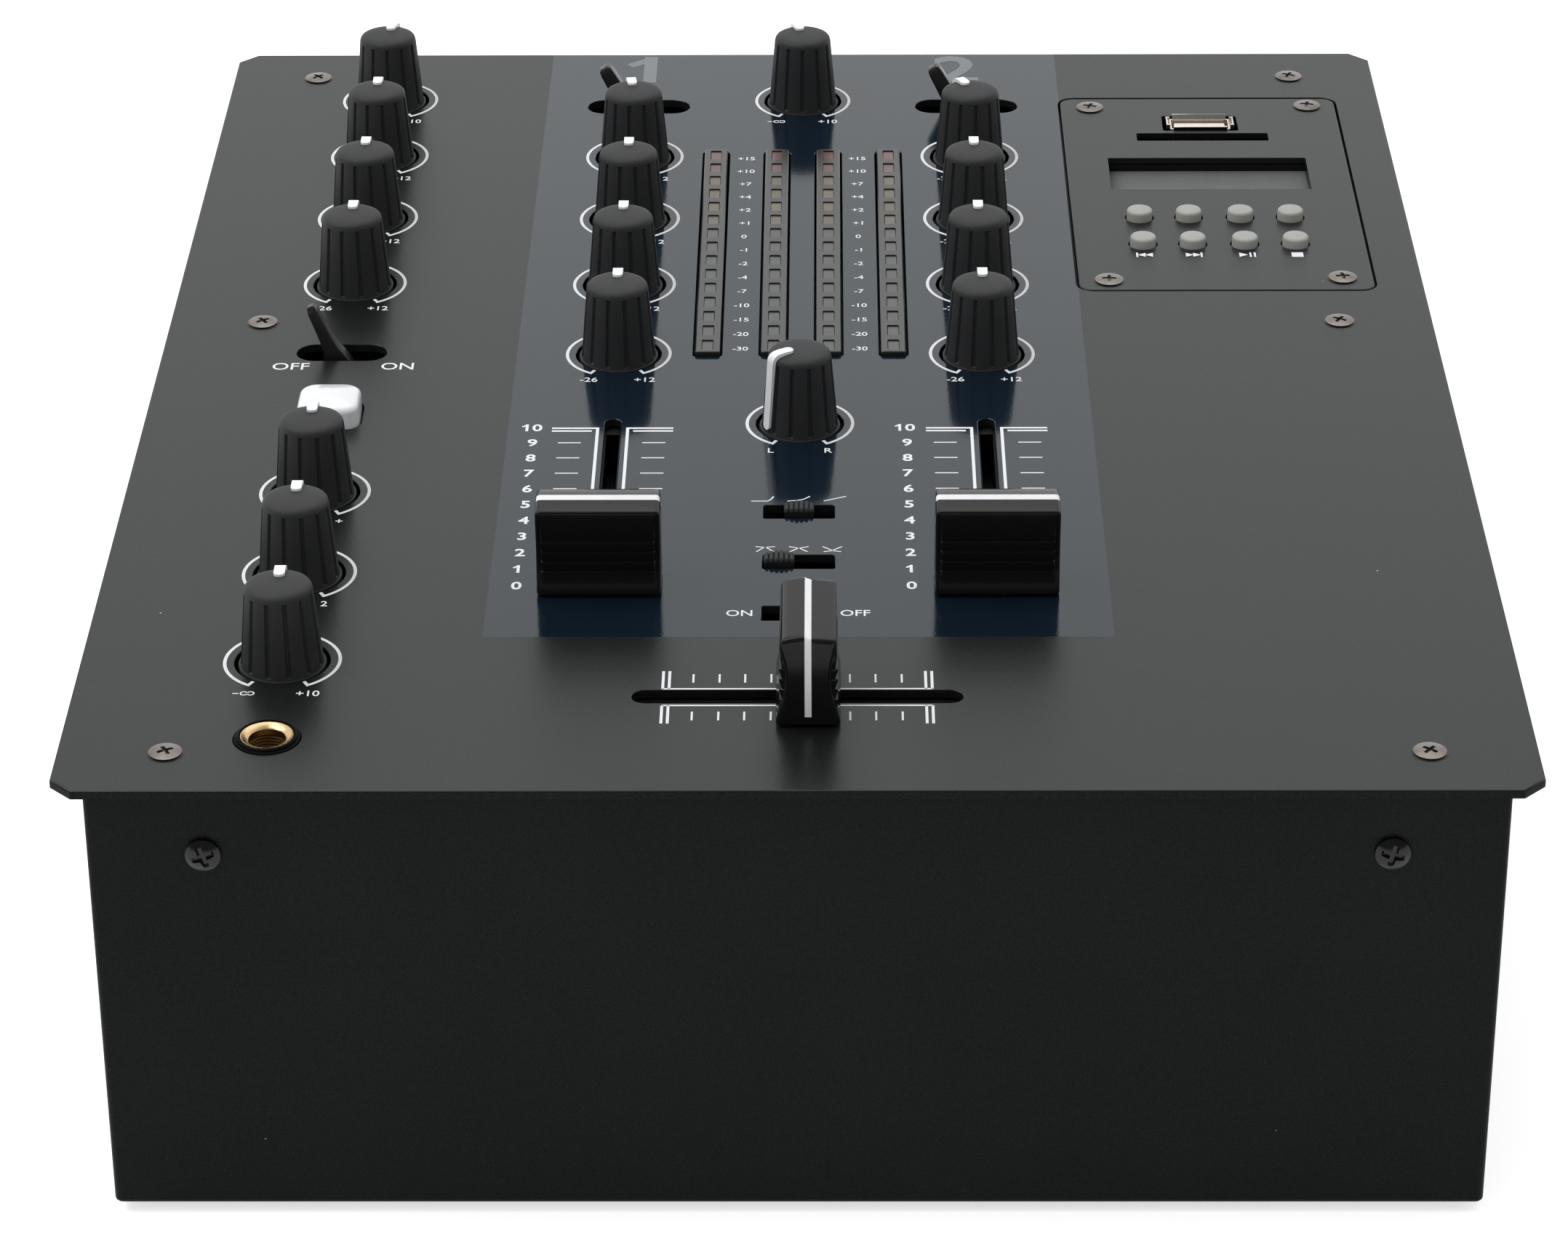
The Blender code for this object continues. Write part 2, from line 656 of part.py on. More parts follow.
def build_feet():
    """Four rubber feet under the tub."""
    height = FOOT_HEIGHT - SEAM
    profile = [(0, height), (FOOT_RADIUS, height), (FOOT_BASE_RADIUS, 0), (0, 0)]
    mesh = turned(profile, FOOT_SIDES)
    reach_x, reach_y = TUB_WIDTH / 2 - FOOT_INSET, TUB_DEPTH / 2 - FOOT_INSET
    for end, sy in (("front", -1), ("back", 1)):
        for side, sx in (("left", -1), ("right", 1)):
            spot = (sx * reach_x, REAR_WALL - TUB_DEPTH / 2 + sy * reach_y, 0)
            place(f"{end}_{side}_foot", mesh, RUBBER, spot)


def knob_ring(radius, height, depth, relief):
    """One ring of a knob: four points a flute, three of them drawn together where the ring is plain."""
    pitch = 2 * math.pi / FLUTES
    land = pitch * (1 - FLUTE_SHARE) / 2 if depth else 0.0
    ring = []
    for k in range(FLUTES):
        middle = math.pi / 2 + k * pitch
        out = radius + (relief if k == 0 else 0.0)
        groove = (middle + pitch / 2, radius - depth)
        for angle, reach in ((middle - land, out), (middle, out), (middle + land, out), groove):
            ring.append((reach * math.cos(angle), reach * math.sin(angle), height))
    return ring


def build_knobs():
    """Fluted knobs on their shafts. The raised flute is the pointer, at +Y when a knob stands at noon."""
    sections = [
        knob_ring(KNOB_SKIRT_RADIUS, -KNOB_SKIRT_DIP, 0.0, 0.0),
        knob_ring(KNOB_BASE_RADIUS, KNOB_BASE_RISE, FLUTE_DEPTH / 2, POINTER_RELIEF),
        knob_ring(KNOB_SHOULDER_RADIUS, KNOB_SHOULDER_RISE, FLUTE_DEPTH, POINTER_RELIEF),
        knob_ring(KNOB_CROWN_RADIUS, KNOB_CROWN_RISE, 0.0, 0.0),
    ]
    body = loft(sections)
    bm = bmesh.new()
    bm.from_mesh(body)
    crown = max(bm.faces, key=lambda face: face.calc_center_median().z)
    for peak in bmesh.ops.poke(bm, faces=[crown])["verts"]:
        peak.co.z = KNOB_HEIGHT
    bm.to_mesh(body)
    bm.free()
    shaft_end = -KNOB_SKIRT_DIP - SHAFT_LENGTH
    knob = fused(body, rod((0, 0), SHAFT_RADIUS, shaft_end, KNOB_SKIRT_DIP, SHAFT_SIDES))
    for name, (x, y, clockwise) in KNOB_PLACES.items():
        turn = Matrix.Rotation(math.radians(-clockwise), 4, "Z")
        place(name, knob, KNOB_PLASTIC, on_plate((x, y)), turn)


def cap_outline():
    """Half of a fader cap's section, top to bottom: rounded edge, ridged waist, flared skirt."""
    high = CAP_RISE + CAP_HEIGHT
    half_top, half_waist, half_base = CAP_TOP / 2, CAP_WAIST / 2, CAP_BASE / 2
    points = [(half_top - CAP_EDGE, high), (half_top, high - CAP_EDGE), (half_top, high - CAP_FLANK)]
    ridge_high, ridge_low = high - CAP_FLANK, CAP_RISE + CAP_SKIRT
    pitch = (ridge_high - ridge_low) / RIDGES
    for k in range(RIDGES):
        sweep = math.sin(math.pi * (k + 0.5) / RIDGES)
        drawn_in = WAIST_AT_ENDS + (1 - WAIST_AT_ENDS) * sweep
        inner = half_top + (half_waist - half_top) * drawn_in
        points.append((inner, ridge_high - (k + RIDGE_VALLEY) * pitch))
        points.append((inner + RIDGE_RELIEF, ridge_high - (k + RIDGE_CREST) * pitch))
    points.append((half_top - RIDGE_RELIEF, ridge_low))
    points.append((half_base, CAP_RISE))
    return points


def build_fader_caps():
    """Three waisted caps, each with its flat stem, the long way across the slot."""
    right = cap_outline()
    outline = right + [(-y, z) for y, z in reversed(right)]
    cap = prism(outline, -CAP_LENGTH / 2, CAP_LENGTH / 2)
    cap.transform(OUTLINE_IN_YZ)
    stem_low = -UNDERSIDE_DROP - STEM_DEPTH
    stem_high = CAP_RISE + SINK
    stem = box((0, 0, (stem_low + stem_high) / 2), (STEM_THICKNESS, STEM_WIDTH, stem_high - stem_low))
    cap = fused(cap, stem)
    place("ch1_fader_cap", cap, GLOSS_PLASTIC, on_plate((CH1_X, CHANNEL_LOW)))
    place("ch2_fader_cap", cap, GLOSS_PLASTIC, on_plate((CH2_X, CHANNEL_LOW)))
    quarter = Matrix.Rotation(math.radians(90), 4, "Z")
    place("crossfader_cap", cap, GLOSS_PLASTIC, on_plate((CROSS_REST, CROSS_PLACE)), quarter)


def fader_body(travel):
    """A slide control's trough, along Y, with the slot that its stem runs in."""
    slot = (STEM_THICKNESS + 2 * STEM_CLEARANCE, travel + STEM_WIDTH + 2 * STEM_CLEARANCE)
    length = slot[1] + 2 * FADER_BODY_END
    outline = rectangle((0, 0), (FADER_BODY_WIDTH, length))
    high = -UNDERSIDE_DROP
    low = high - FADER_BODY_HEIGHT
    body = prism(outline, low, high)
    return cut(body, prism(rectangle((0, 0), slot), low + FADER_FLOOR, high + OUTWARD))


def build_fader_bodies():
    channel = fader_body(CHANNEL_TRAVEL)
    middle = channel_slot_centre()
    place("ch1_fader_body", channel, ZINC, on_plate((CH1_X, middle)))
    place("ch2_fader_body", channel, ZINC, on_plate((CH2_X, middle)))
    quarter = Matrix.Rotation(math.radians(90), 4, "Z")
    place("crossfader_body", fader_body(CROSS_TRAVEL), ZINC, on_plate((0, CROSS_PLACE)), quarter)


def build_levers():
    """Bat levers on pivots under the faceplate, leaning to the left."""
    tip = (0, LEVER_LENGTH - LEVER_TIP_RADIUS)
    right = [(LEVER_HUB_RADIUS, LEVER_HUB_RISE), (LEVER_NECK_HALF, LEVER_NECK_RISE)]
    outline = arc((0, 0), LEVER_HUB_RADIUS, 180, 360, LEVER_HUB_STEPS)
    outline += right + arc(tip, LEVER_TIP_RADIUS, 0, 180, LEVER_TIP_STEPS)
    outline += [(-x, z) for x, z in reversed(right)]
    lever = prism(outline, -LEVER_THICKNESS / 2, LEVER_THICKNESS / 2)
    lever.transform(OUTLINE_IN_XZ)
    lean = Matrix.Rotation(math.radians(-LEVER_LEAN), 4, "Y")
    for name, (x, y, _) in LEVER_PLACES.items():
        place(name, lever, KNOB_PLASTIC, on_plate((x, y), LEVER_PIVOT_DROP), lean)


def build_sliders():
    """Arched, ridged slide-switch knobs on stems."""
    half = SLIDER_LENGTH / 2
    outline = [(-half, -SLIDER_DROP), (half, -SLIDER_DROP)]
    steps = 2 * SLIDER_TEETH
    for k in range(steps + 1):
        x = half - SLIDER_LENGTH * k / steps
        notch = 0.0 if k % 2 else SLIDER_TOOTH
        outline.append((x, SLIDER_RISE - SLIDER_ARCH * (x / half) ** 2 - notch))
    grip = prism(outline, -SLIDER_WIDTH / 2, SLIDER_WIDTH / 2)
    grip.transform(OUTLINE_IN_XZ)
    length = SLIDER_STEM_DROP - SLIDER_DROP + SINK
    stem_middle = (0, 0, -SLIDER_STEM_DROP + length / 2)
    slider = fused(grip, box(stem_middle, (SLIDER_STEM_LENGTH, SLIDER_STEM_WIDTH, length)))
    for name, spot in SLIDER_PLACES.items():
        place(name, slider, KNOB_PLASTIC, on_plate(spot))


def build_mic_button():
    """A cushion-edged square button on a square stem."""
    bm = bmesh.new()
    bmesh.ops.create_cube(bm, size=1)
    height = BUTTON_RISE + BUTTON_DROP
    bmesh.ops.scale(bm, vec=(BUTTON_SIZE, BUTTON_SIZE, height), verts=bm.verts)
    bmesh.ops.translate(bm, vec=(0, 0, BUTTON_RISE - height / 2), verts=bm.verts)
    rounding = {"segments": BUTTON_SEGMENTS, "profile": 0.5, "affect": "EDGES", "material": -1}
    upright = [e for e in bm.edges if abs(e.verts[0].co.z - e.verts[1].co.z) > height / 2]
    bmesh.ops.bevel(bm, geom=upright, offset=BUTTON_CORNER, **rounding)
    rim = [e for e in bm.edges if all(v.co.z > BUTTON_RISE - WELD_DISTANCE for v in e.verts)]
    bmesh.ops.bevel(bm, geom=rim, offset=BUTTON_EDGE, **rounding)
    length = BUTTON_STEM_DROP - BUTTON_DROP + SINK
    stem = box((0, 0, -BUTTON_STEM_DROP + length / 2), (BUTTON_STEM, BUTTON_STEM, length))
    place("mic_button", fused(mesh_from(bm), stem), WHITE_PLASTIC, on_plate(BUTTON_PLACE))


def walled_block(centre, size, hole, drop):
    """A control's body on the circuit board: a block with an open well, up to a depth under the plate."""
    return prism(rectangle(centre, size), PLATE_TOP - BOARD_DROP - SINK, PLATE_TOP - drop, [hole])


def build_main_board():
    """The circuit board with the bodies of the rotary controls and switches, on posts to the faceplate."""
    middle = flat(((BOARD_LEFT + BOARD_RIGHT) / 2, (BOARD_FRONT + BOARD_BACK) / 2))
    size = (BOARD_RIGHT - BOARD_LEFT, BOARD_BACK - BOARD_FRONT)
    high = PLATE_TOP - BOARD_DROP
    board = prism(rectangle(middle, size), high - BOARD_THICKNESS, high)
    bodies = []
    inner_radius = SHAFT_RADIUS + SHAFT_CLEARANCE
    bore_radius = inner_radius / math.cos(math.pi / BORE_SIDES)
    for spot in KNOB_PLACES.values():
        bore = round_outline(flat(spot), bore_radius, BORE_SIDES)
        bodies.append(walled_block(flat(spot), (POT_SIZE, POT_SIZE), bore, BOARD_DROP - POT_HEIGHT))
    well_width = LEVER_THICKNESS + 2 * LEVER_SIDE_CLEARANCE
    for spot in LEVER_PLACES.values():
        centre = flat(spot)
        well = rectangle(centre, (2 * LEVER_HUB_RADIUS + 2 * LEVER_SIDE_CLEARANCE, well_width))
        bodies.append(walled_block(centre, (LEVER_BODY_LENGTH, LEVER_BODY_WIDTH), well, LEVER_BODY_DROP))
    run = SLIDER_TRAVEL + SLIDER_STEM_LENGTH + 2 * SLIDER_STEM_CLEARANCE
    slider_body = (run + 2 * SLIDER_BODY_WALL, SLIDER_BODY_WIDTH)
    for _, y in SLIDER_PLACES.values():
        centre = flat((0, y))
        well = rectangle(centre, (run, SLIDER_STEM_WIDTH + 2 * SLIDER_STEM_CLEARANCE))
        bodies.append(walled_block(centre, slider_body, well, SLIDER_BODY_DROP))
    stem_well = BUTTON_STEM + 2 * BUTTON_STEM_CLEARANCE
    button_body = stem_well + 2 * BUTTON_BODY_WALL
    centre = flat(BUTTON_PLACE)
    well = rectangle(centre, (stem_well, stem_well))
    bodies.append(walled_block(centre, (button_body, button_body), well, BUTTON_BODY_DROP))
    for x in POST_XS:
        for y in POST_YS:
            bodies.append(rod(flat((x, y)), POST_RADIUS, high - SINK, PLATE_UNDER - SEAM, POST_SIDES))
    place("main_board", fused(board, *bodies), BOARD_GREEN)


def build_meter():
    """Four bars of lamps, up through their windows from a board that lies on the circuit board."""
    high = PLATE_TOP + METER_BAR_PROUD
    length = METER_BACK - METER_FRONT - 2 * METER_BAR_CLEARANCE
    width = METER_WINDOW_WIDTH - 2 * METER_BAR_CLEARANCE
    middle_y = (METER_FRONT + METER_BACK) / 2
    left, right = min(METER_XS) - width / 2, max(METER_XS) + width / 2
    board_size = (right - left + 2 * METER_BOARD_LAP, length + 2 * METER_BOARD_LAP)
    board_low = PLATE_TOP - BOARD_DROP + SEAM
    board_high = board_low + BOARD_THICKNESS
    board_middle = flat(((left + right) / 2, middle_y))
    block = prism(rectangle(board_middle, board_size), board_low, board_high)
    bars, lamps = [], []
    for x in METER_XS:
        bars.append(prism(rectangle(flat((x, middle_y)), (width, length)), board_high - SINK, high))
        for k in range(METER_SEGMENTS):
            spot = flat((x, METER_FIRST + k * METER_PITCH))
            lamp = rectangle(spot, (METER_SEGMENT_WIDTH, METER_SEGMENT_LENGTH))
            lamps.append(prism(lamp, high - METER_SEGMENT_DEPTH, high + OUTWARD))
    place("level_meter", cut(fused(block, *bars), *lamps), METER_GREY)


def build_player():
    """The player: its plate, circuit board with the card socket, display, USB socket and buttons."""
    centre = flat(MODULE_CENTRE)
    holes = [
        rectangle(flat(USB_CENTRE), USB_OPENING),
        rectangle(flat(CARD_CENTRE), CARD_SLOT),
        rectangle(flat(DISPLAY_CENTRE), DISPLAY_WINDOW),
    ]
    spots = [(x, y) for y in PLAYER_BUTTON_YS for x in PLAYER_BUTTON_XS]
    for spot in spots:
        radius = PLAYER_BUTTON_RADIUS + PLAYER_BUTTON_CLEARANCE
        holes.append(round_outline(flat(spot), radius, PLAYER_BUTTON_SIDES))
    outline = rounded_rectangle(centre, MODULE_SIZE, MODULE_CORNER)
    place("player_plate", prism(outline, PLATE_TOP - MODULE_THICKNESS, PLATE_TOP, holes), BLACK_PAINT)

    board_high = PLATE_TOP - MODULE_BOARD_DROP
    board_size = [side - 2 * MODULE_BOARD_INSET for side in MODULE_SIZE]
    usb_hole = rectangle(flat(USB_CENTRE), [side + 2 * SEAM for side in USB_SHELL])
    board = prism(rectangle(centre, board_size), board_high - BOARD_THICKNESS, board_high, [usb_hole])
    bodies = []
    for sx in (-1, 1):
        for sy in (-1, 1):
            x = centre[0] + sx * (MODULE_SIZE[0] / 2 - MODULE_POST_INSET)
            y = centre[1] + sy * (MODULE_SIZE[1] / 2 - MODULE_POST_INSET)
            post_high = PLATE_UNDER - LEDGE_THICKNESS - SEAM
            bodies.append(rod((x, y), POST_RADIUS, board_high - SINK, post_high, POST_SIDES))
    for spot in spots:
        key_switch = rectangle(flat(spot), (KEY_SWITCH_SIZE, KEY_SWITCH_SIZE))
        bodies.append(prism(key_switch, board_high - SINK, PLATE_TOP - KEY_SWITCH_DROP))
    socket = [side + 2 * CARD_WALL for side in CARD_CHANNEL]
    card_high, card_low = PLATE_TOP - CARD_DROP, PLATE_TOP - CARD_DROP - CARD_LENGTH
    bodies.append(prism(rectangle(flat(CARD_CENTRE), socket), card_low, card_high))
    channel = prism(rectangle(flat(CARD_CENTRE), CARD_CHANNEL), card_low + CARD_WALL, card_high + OUTWARD)
    place("player_board", cut(fused(board, *bodies), channel), BOARD_GREEN)

    glass = [side + 2 * DISPLAY_LAP for side in DISPLAY_WINDOW]
    display_high = PLATE_TOP - DISPLAY_DROP
    display = prism(rectangle(flat(DISPLAY_CENTRE), glass), board_high + SEAM, display_high)
    window = rectangle(flat(DISPLAY_CENTRE), DISPLAY_WINDOW)
    dish = prism(window, display_high - DISPLAY_DISH, display_high + OUTWARD)
    place("player_display", cut(display, dish), DISPLAY_GREY)
    build_usb_socket()

    radius = PLAYER_BUTTON_RADIUS
    flange_high = -MODULE_THICKNESS - SEAM
    flange = radius + 2 * PLAYER_BUTTON_CLEARANCE
    profile = [
        (0, PLAYER_BUTTON_RISE),
        (radius - PLAYER_BUTTON_EDGE, PLAYER_BUTTON_RISE),
        (radius, PLAYER_BUTTON_RISE - PLAYER_BUTTON_EDGE),
        (radius, flange_high),
        (flange, flange_high),
        (flange, -PLAYER_BUTTON_FOOT),
        (0, -PLAYER_BUTTON_FOOT),
    ]
    button = turned(profile, PLAYER_BUTTON_SIDES)
    for number, spot in enumerate(spots, start=1):
        place(f"player_button_{number}", button, GREY_PLASTIC, on_plate(spot))


def build_usb_socket():
    """A sheet-metal shell that stands through the player's board, with the contact tongue inside."""
    high = PLATE_TOP - USB_DROP
    low = high - USB_LENGTH
    centre = flat(USB_CENTRE)
    inside = [side - 2 * USB_WALL for side in USB_SHELL]
    shell = prism(rectangle(centre, USB_SHELL), low, high)
    shell = cut(shell, prism(rectangle(centre, inside), low + USB_FLOOR, high + OUTWARD))
    tongue_middle = (centre[0], centre[1] + USB_TONGUE_OFFSET)
    tongue = prism(rectangle(tongue_middle, USB_TONGUE), low + USB_FLOOR / 2, high - USB_TONGUE_DROP)
    place("usb_socket", fused(shell, tongue), NICKEL)


def jack(panel):
    """A quarter-inch jack along Z, its panel's outer face at zero: body, bush and flared bore."""
    high = -panel - SEAM
    low = high - JACK_LENGTH
    body = prism(rectangle((0, 0), (JACK_BODY, JACK_BODY)), low, high)
    bush = rod((0, 0), JACK_BUSH_RADIUS, high - JACK_FLOOR, JACK_PROUD, JACK_SIDES)
    mouth = JACK_PROUD - JACK_MOUTH_DEPTH
    flare = (JACK_MOUTH_RADIUS - JACK_BORE_RADIUS) / JACK_MOUTH_DEPTH
    profile = [
        (0, JACK_PROUD + OUTWARD),
        (JACK_MOUTH_RADIUS + flare * OUTWARD, JACK_PROUD + OUTWARD),
        (JACK_BORE_RADIUS, mouth),
        (JACK_BORE_RADIUS, low + JACK_FLOOR),
        (0, low + JACK_FLOOR),
    ]
    return cut(fused(body, bush), turned(profile, JACK_SIDES))


def build_jacks():
    place("phones_jack", jack(PLATE_THICKNESS), BRASS, on_plate(PHONES_PLACE))
    place("mic_jack", jack(SHEET), BRASS, rear_spot(MIC_JACK_X), FACING_BACK)


def rca_posts():
    half = RCA_PITCH / 2
    return [(sx * half, sy * half) for sx in (-1, 1) for sy in (-1, 1)]


def build_rca_blocks():
    """Blocks of four phono sockets behind the back wall, their posts through its holes."""
    high = -SHEET - SEAM
    block = prism(rectangle((0, 0), (RCA_BLOCK, RCA_BLOCK)), high - RCA_BLOCK_DEPTH, high)
    posts = [rod(spot, RCA_RADIUS, high - RCA_PIN_DEPTH, RCA_REACH, RCA_SIDES) for spot in rca_posts()]
    pin_low, pin_high = RCA_REACH - RCA_PIN_DEPTH, RCA_REACH + OUTWARD
    pins = [rod(spot, RCA_PIN_RADIUS, pin_low, pin_high, RCA_SIDES) for spot in rca_posts()]
    mesh = cut(fused(block, *posts), *pins)
    places = {"ch1_rca_block": CH1_RCA_X, "ch2_rca_block": CH2_RCA_X, "output_rca_block": OUTPUT_RCA_X}
    for name, x in places.items():
        place(name, mesh, GLOSS_PLASTIC, rear_spot(x), FACING_BACK)


def build_ground_post():
    """The earth terminal: a thumb screw on a flanged post."""
    profile = [
        (0, GROUND_HEAD_TOP),
        (GROUND_HEAD_RADIUS, GROUND_HEAD_TOP),
        (GROUND_HEAD_RADIUS, GROUND_HEAD_LOW),
        (GROUND_NECK_RADIUS, GROUND_HEAD_LOW),
        (GROUND_NECK_RADIUS, GROUND_FLANGE_TOP),
        (GROUND_FLANGE_RADIUS, GROUND_FLANGE_TOP),
        (GROUND_FLANGE_RADIUS, SEAM),
        (GROUND_SHANK_RADIUS, SEAM),
        (GROUND_SHANK_RADIUS, -GROUND_SHANK_DEPTH),
        (0, -GROUND_SHANK_DEPTH),
    ]
    place("ground_post", turned(profile, GROUND_SIDES), NICKEL, rear_spot(GROUND_X), FACING_BACK)


def build_power_inlet():
    """The mains inlet and the seat of its rocker in one moulding, and the rocker."""
    face = SEAM + INLET_FLANGE_THICKNESS
    rim = rounded_rectangle((0, 0), INLET_FLANGE, INLET_FLANGE_CORNER, COARSE_STEPS)
    flange = prism(rim, SEAM, face)
    body = prism(rectangle((0, 0), INLET_BODY), -INLET_DEPTH, SEAM + SINK)
    half_x, half_y = SOCKET_SIZE[0] / 2, SOCKET_SIZE[1] / 2
    right = [(half_x, -half_y), (half_x, half_y - SOCKET_CHAMFER), (half_x - SOCKET_CHAMFER, half_y)]
    socket = right + [(-x, y) for x, y in reversed(right)]
    socket = [(SOCKET_X + x, y) for x, y in socket]
    socket_low = face - SOCKET_DEPTH
    seat = [side + 2 * ROCKER_CLEARANCE for side in ROCKER_SIZE]
    seat_cutter = prism(rectangle((ROCKER_X, 0), seat), face - ROCKER_SEAT_DEPTH, face + OUTWARD)
    inlet = cut(fused(flange, body), prism(socket, socket_low, face + OUTWARD), seat_cutter)
    pins = []
    for x, y in ((-PIN_SPREAD, -PIN_RAISE), (PIN_SPREAD, -PIN_RAISE), (0, PIN_RAISE)):
        pin = rectangle((SOCKET_X + x, y), PIN_SIZE)
        pins.append(prism(pin, socket_low - SINK, socket_low + PIN_LENGTH))
    place("power_inlet", fused(inlet, *pins), GLOSS_PLASTIC, rear_spot(INLET_X), FACING_BACK)

    half = ROCKER_SIZE[1] / 2
    top = ROCKER_PEAK - ROCKER_PIVOT
    right = [
        (half, top),
        (half - ROCKER_CLEARANCE, top - ROCKER_DEPTH / 2),
        (ROCKER_HUB / 2, top - ROCKER_DEPTH),
    ]
    outline = [(0, top - ROCKER_DIP)] + right + [(-y, z) for y, z in reversed(right)]
    rocker = prism(outline, -ROCKER_SIZE[0] / 2, ROCKER_SIZE[0] / 2)
    rocker.transform(OUTLINE_IN_YZ)
    pivot = rear_spot(INLET_X - ROCKER_X) + Vector((0, face + ROCKER_PIVOT, 0))
    tilt = FACING_BACK @ Matrix.Rotation(math.radians(ROCKER_TILT), 4, "X")
    place("power_rocker", rocker, GLOSS_PLASTIC, pivot, tilt)


def build_transformer():
    """The mains transformer: laminated core, winding and mounting strap."""
    floor = FOOT_HEIGHT + SHEET + SEAM
    x, y = flat(TRANSFORMER_PLACE)
    core = box((x, y, floor + TRANSFORMER_CORE[2] / 2), TRANSFORMER_CORE)
    coil = box((x, y, floor + TRANSFORMER_CORE[2] / 2), TRANSFORMER_COIL)
    strap_z = TRANSFORMER_STRAP[2] / 2
    strap = box((x, y, floor + strap_z), TRANSFORMER_STRAP)
    place("power_transformer", fused(core, coil, strap), STEEL)


clear_scene()
MIXER = bpy.data.collections.new("dj_mixer")
bpy.context.scene.collection.children.link(MIXER)

BLACK_PAINT = finish("black paint", (0.03, 0.031, 0.031), 0.5)
KNOB_PLASTIC = finish("knob plastic", (0.018, 0.019, 0.02), 0.6)
GLOSS_PLASTIC = finish("gloss plastic", (0.012, 0.012, 0.012), 0.2)
WHITE_PLASTIC = finish("white plastic", (0.85, 0.86, 0.88), 0.25)
GREY_PLASTIC = finish("grey plastic", (0.38, 0.38, 0.35), 0.5)
METER_GREY = finish("meter grey", (0.05, 0.055, 0.05), 0.35)
DISPLAY_GREY = finish("display grey", (0.09, 0.1, 0.1), 0.3)
RUBBER = finish("rubber", (0.015, 0.015, 0.015), 0.85)
ZINC = finish("zinc", (0.5, 0.51, 0.52), 0.4, 1.0)
STEEL = finish("steel", (0.35, 0.35, 0.36), 0.45, 1.0)
NICKEL = finish("nickel", (0.72, 0.7, 0.66), 0.25, 1.0)
BRASS = finish("brass", (0.8, 0.58, 0.25), 0.25, 1.0)
BOARD_GREEN = finish("board green", (0.03, 0.12, 0.06), 0.5)

build_top_plate()
build_tub()
build_top_frame()
build_feet()
build_knobs()
build_fader_caps()
build_fader_bodies()
build_levers()
build_sliders()
build_mic_button()
build_main_board()
build_meter()
build_player()
build_jacks()
build_rca_blocks()
build_ground_post()
build_power_inlet()
build_transformer()
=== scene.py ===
"""Looks of the two-channel DJ mixer: the finish of every surface and the fine shape of every control.

Metres, +Z up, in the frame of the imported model. A spot on the faceplate is (x, distance from its front
edge), as on a drawing of it, and a rise there is a height above the faceplate's top.
"""
import math

import bmesh
import bpy
from mathutils import Matrix, Vector


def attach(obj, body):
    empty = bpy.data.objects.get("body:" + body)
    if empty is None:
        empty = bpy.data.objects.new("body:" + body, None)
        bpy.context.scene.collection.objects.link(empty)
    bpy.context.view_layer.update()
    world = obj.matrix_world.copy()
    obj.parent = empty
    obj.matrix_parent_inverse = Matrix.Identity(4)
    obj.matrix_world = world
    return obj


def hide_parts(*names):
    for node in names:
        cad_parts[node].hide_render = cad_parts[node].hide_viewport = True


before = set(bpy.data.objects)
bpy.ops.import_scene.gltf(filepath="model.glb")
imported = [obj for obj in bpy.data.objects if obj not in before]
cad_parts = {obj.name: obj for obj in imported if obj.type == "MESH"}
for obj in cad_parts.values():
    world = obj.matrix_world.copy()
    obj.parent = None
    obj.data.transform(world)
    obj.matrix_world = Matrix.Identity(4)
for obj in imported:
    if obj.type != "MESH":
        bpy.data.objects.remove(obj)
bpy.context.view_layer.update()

# Faceplate
PLATE_TOP = 0.0897
PLATE_THICKNESS = 0.0016
PLATE_SIZE = (0.254, 0.3265)
PLATE_CORNER = 0.0042
PLATE_EDGE = 0.0003
FRONT_EDGE = -0.1655
HOLE_EDGE = 0.0001
GLOSS_SIDES = (-0.0563, 0.0565)
GLOSS_FRONT = 0.054

# Columns of controls, by x
MIC_X = -0.0912
CH1_X = -0.0361
CH2_X = 0.036

# Rotary knobs: x, distance from the front edge, degrees clockwise from noon, marks at the two ends
KNOBS = {
    "mic_level_knob": (MIC_X, 0.3, 12, "-o", "+10"),
    "mic_high_knob": (MIC_X, 0.269, 0, "-26", "+12"),
    "mic_mid_knob": (MIC_X, 0.2365, 0, "-26", "+12"),
    "mic_low_knob": (MIC_X, 0.2037, 0, "-26", "+12"),
    "phones_tone_knob": (MIC_X, 0.1105, 0, "-", "+"),
    "phones_mix_knob": (MIC_X, 0.0782, 0, "1", "2"),
    "phones_level_knob": (MIC_X, 0.0453, 0, "-o", "+10"),
    "ch1_gain_knob": (CH1_X, 0.2685, -8, "-26", "+12"),
    "ch1_high_knob": (CH1_X, 0.236, 0, "-26", "+12"),
    "ch1_mid_knob": (CH1_X, 0.2033, 0, "-26", "+12"),
    "ch1_low_knob": (CH1_X, 0.1705, 0, "-26", "+12"),
    "ch2_gain_knob": (CH2_X, 0.2685, -25, "-26", "+12"),
    "ch2_high_knob": (CH2_X, 0.236, 0, "-26", "+12"),
    "ch2_mid_knob": (CH2_X, 0.2033, 0, "-26", "+12"),
    "ch2_low_knob": (CH2_X, 0.1705, 0, "-26", "+12"),
    "master_level_knob": (0.0, 0.2995, -15, "-o", "+10"),
    "master_balance_knob": (0.0, 0.1395, -122, "L", "R"),
}
KNOB_HOLE = 0.0085
KNOB_FLUTES = 12
KNOB_STEPS = 14
GROOVE_COLUMNS = 4
GROOVE_TOP = 0.0144
GROOVE_FOOT = 0.0002
GROOVE_DEPTH = 0.00045
GROOVE_SLOPE = 0.00032
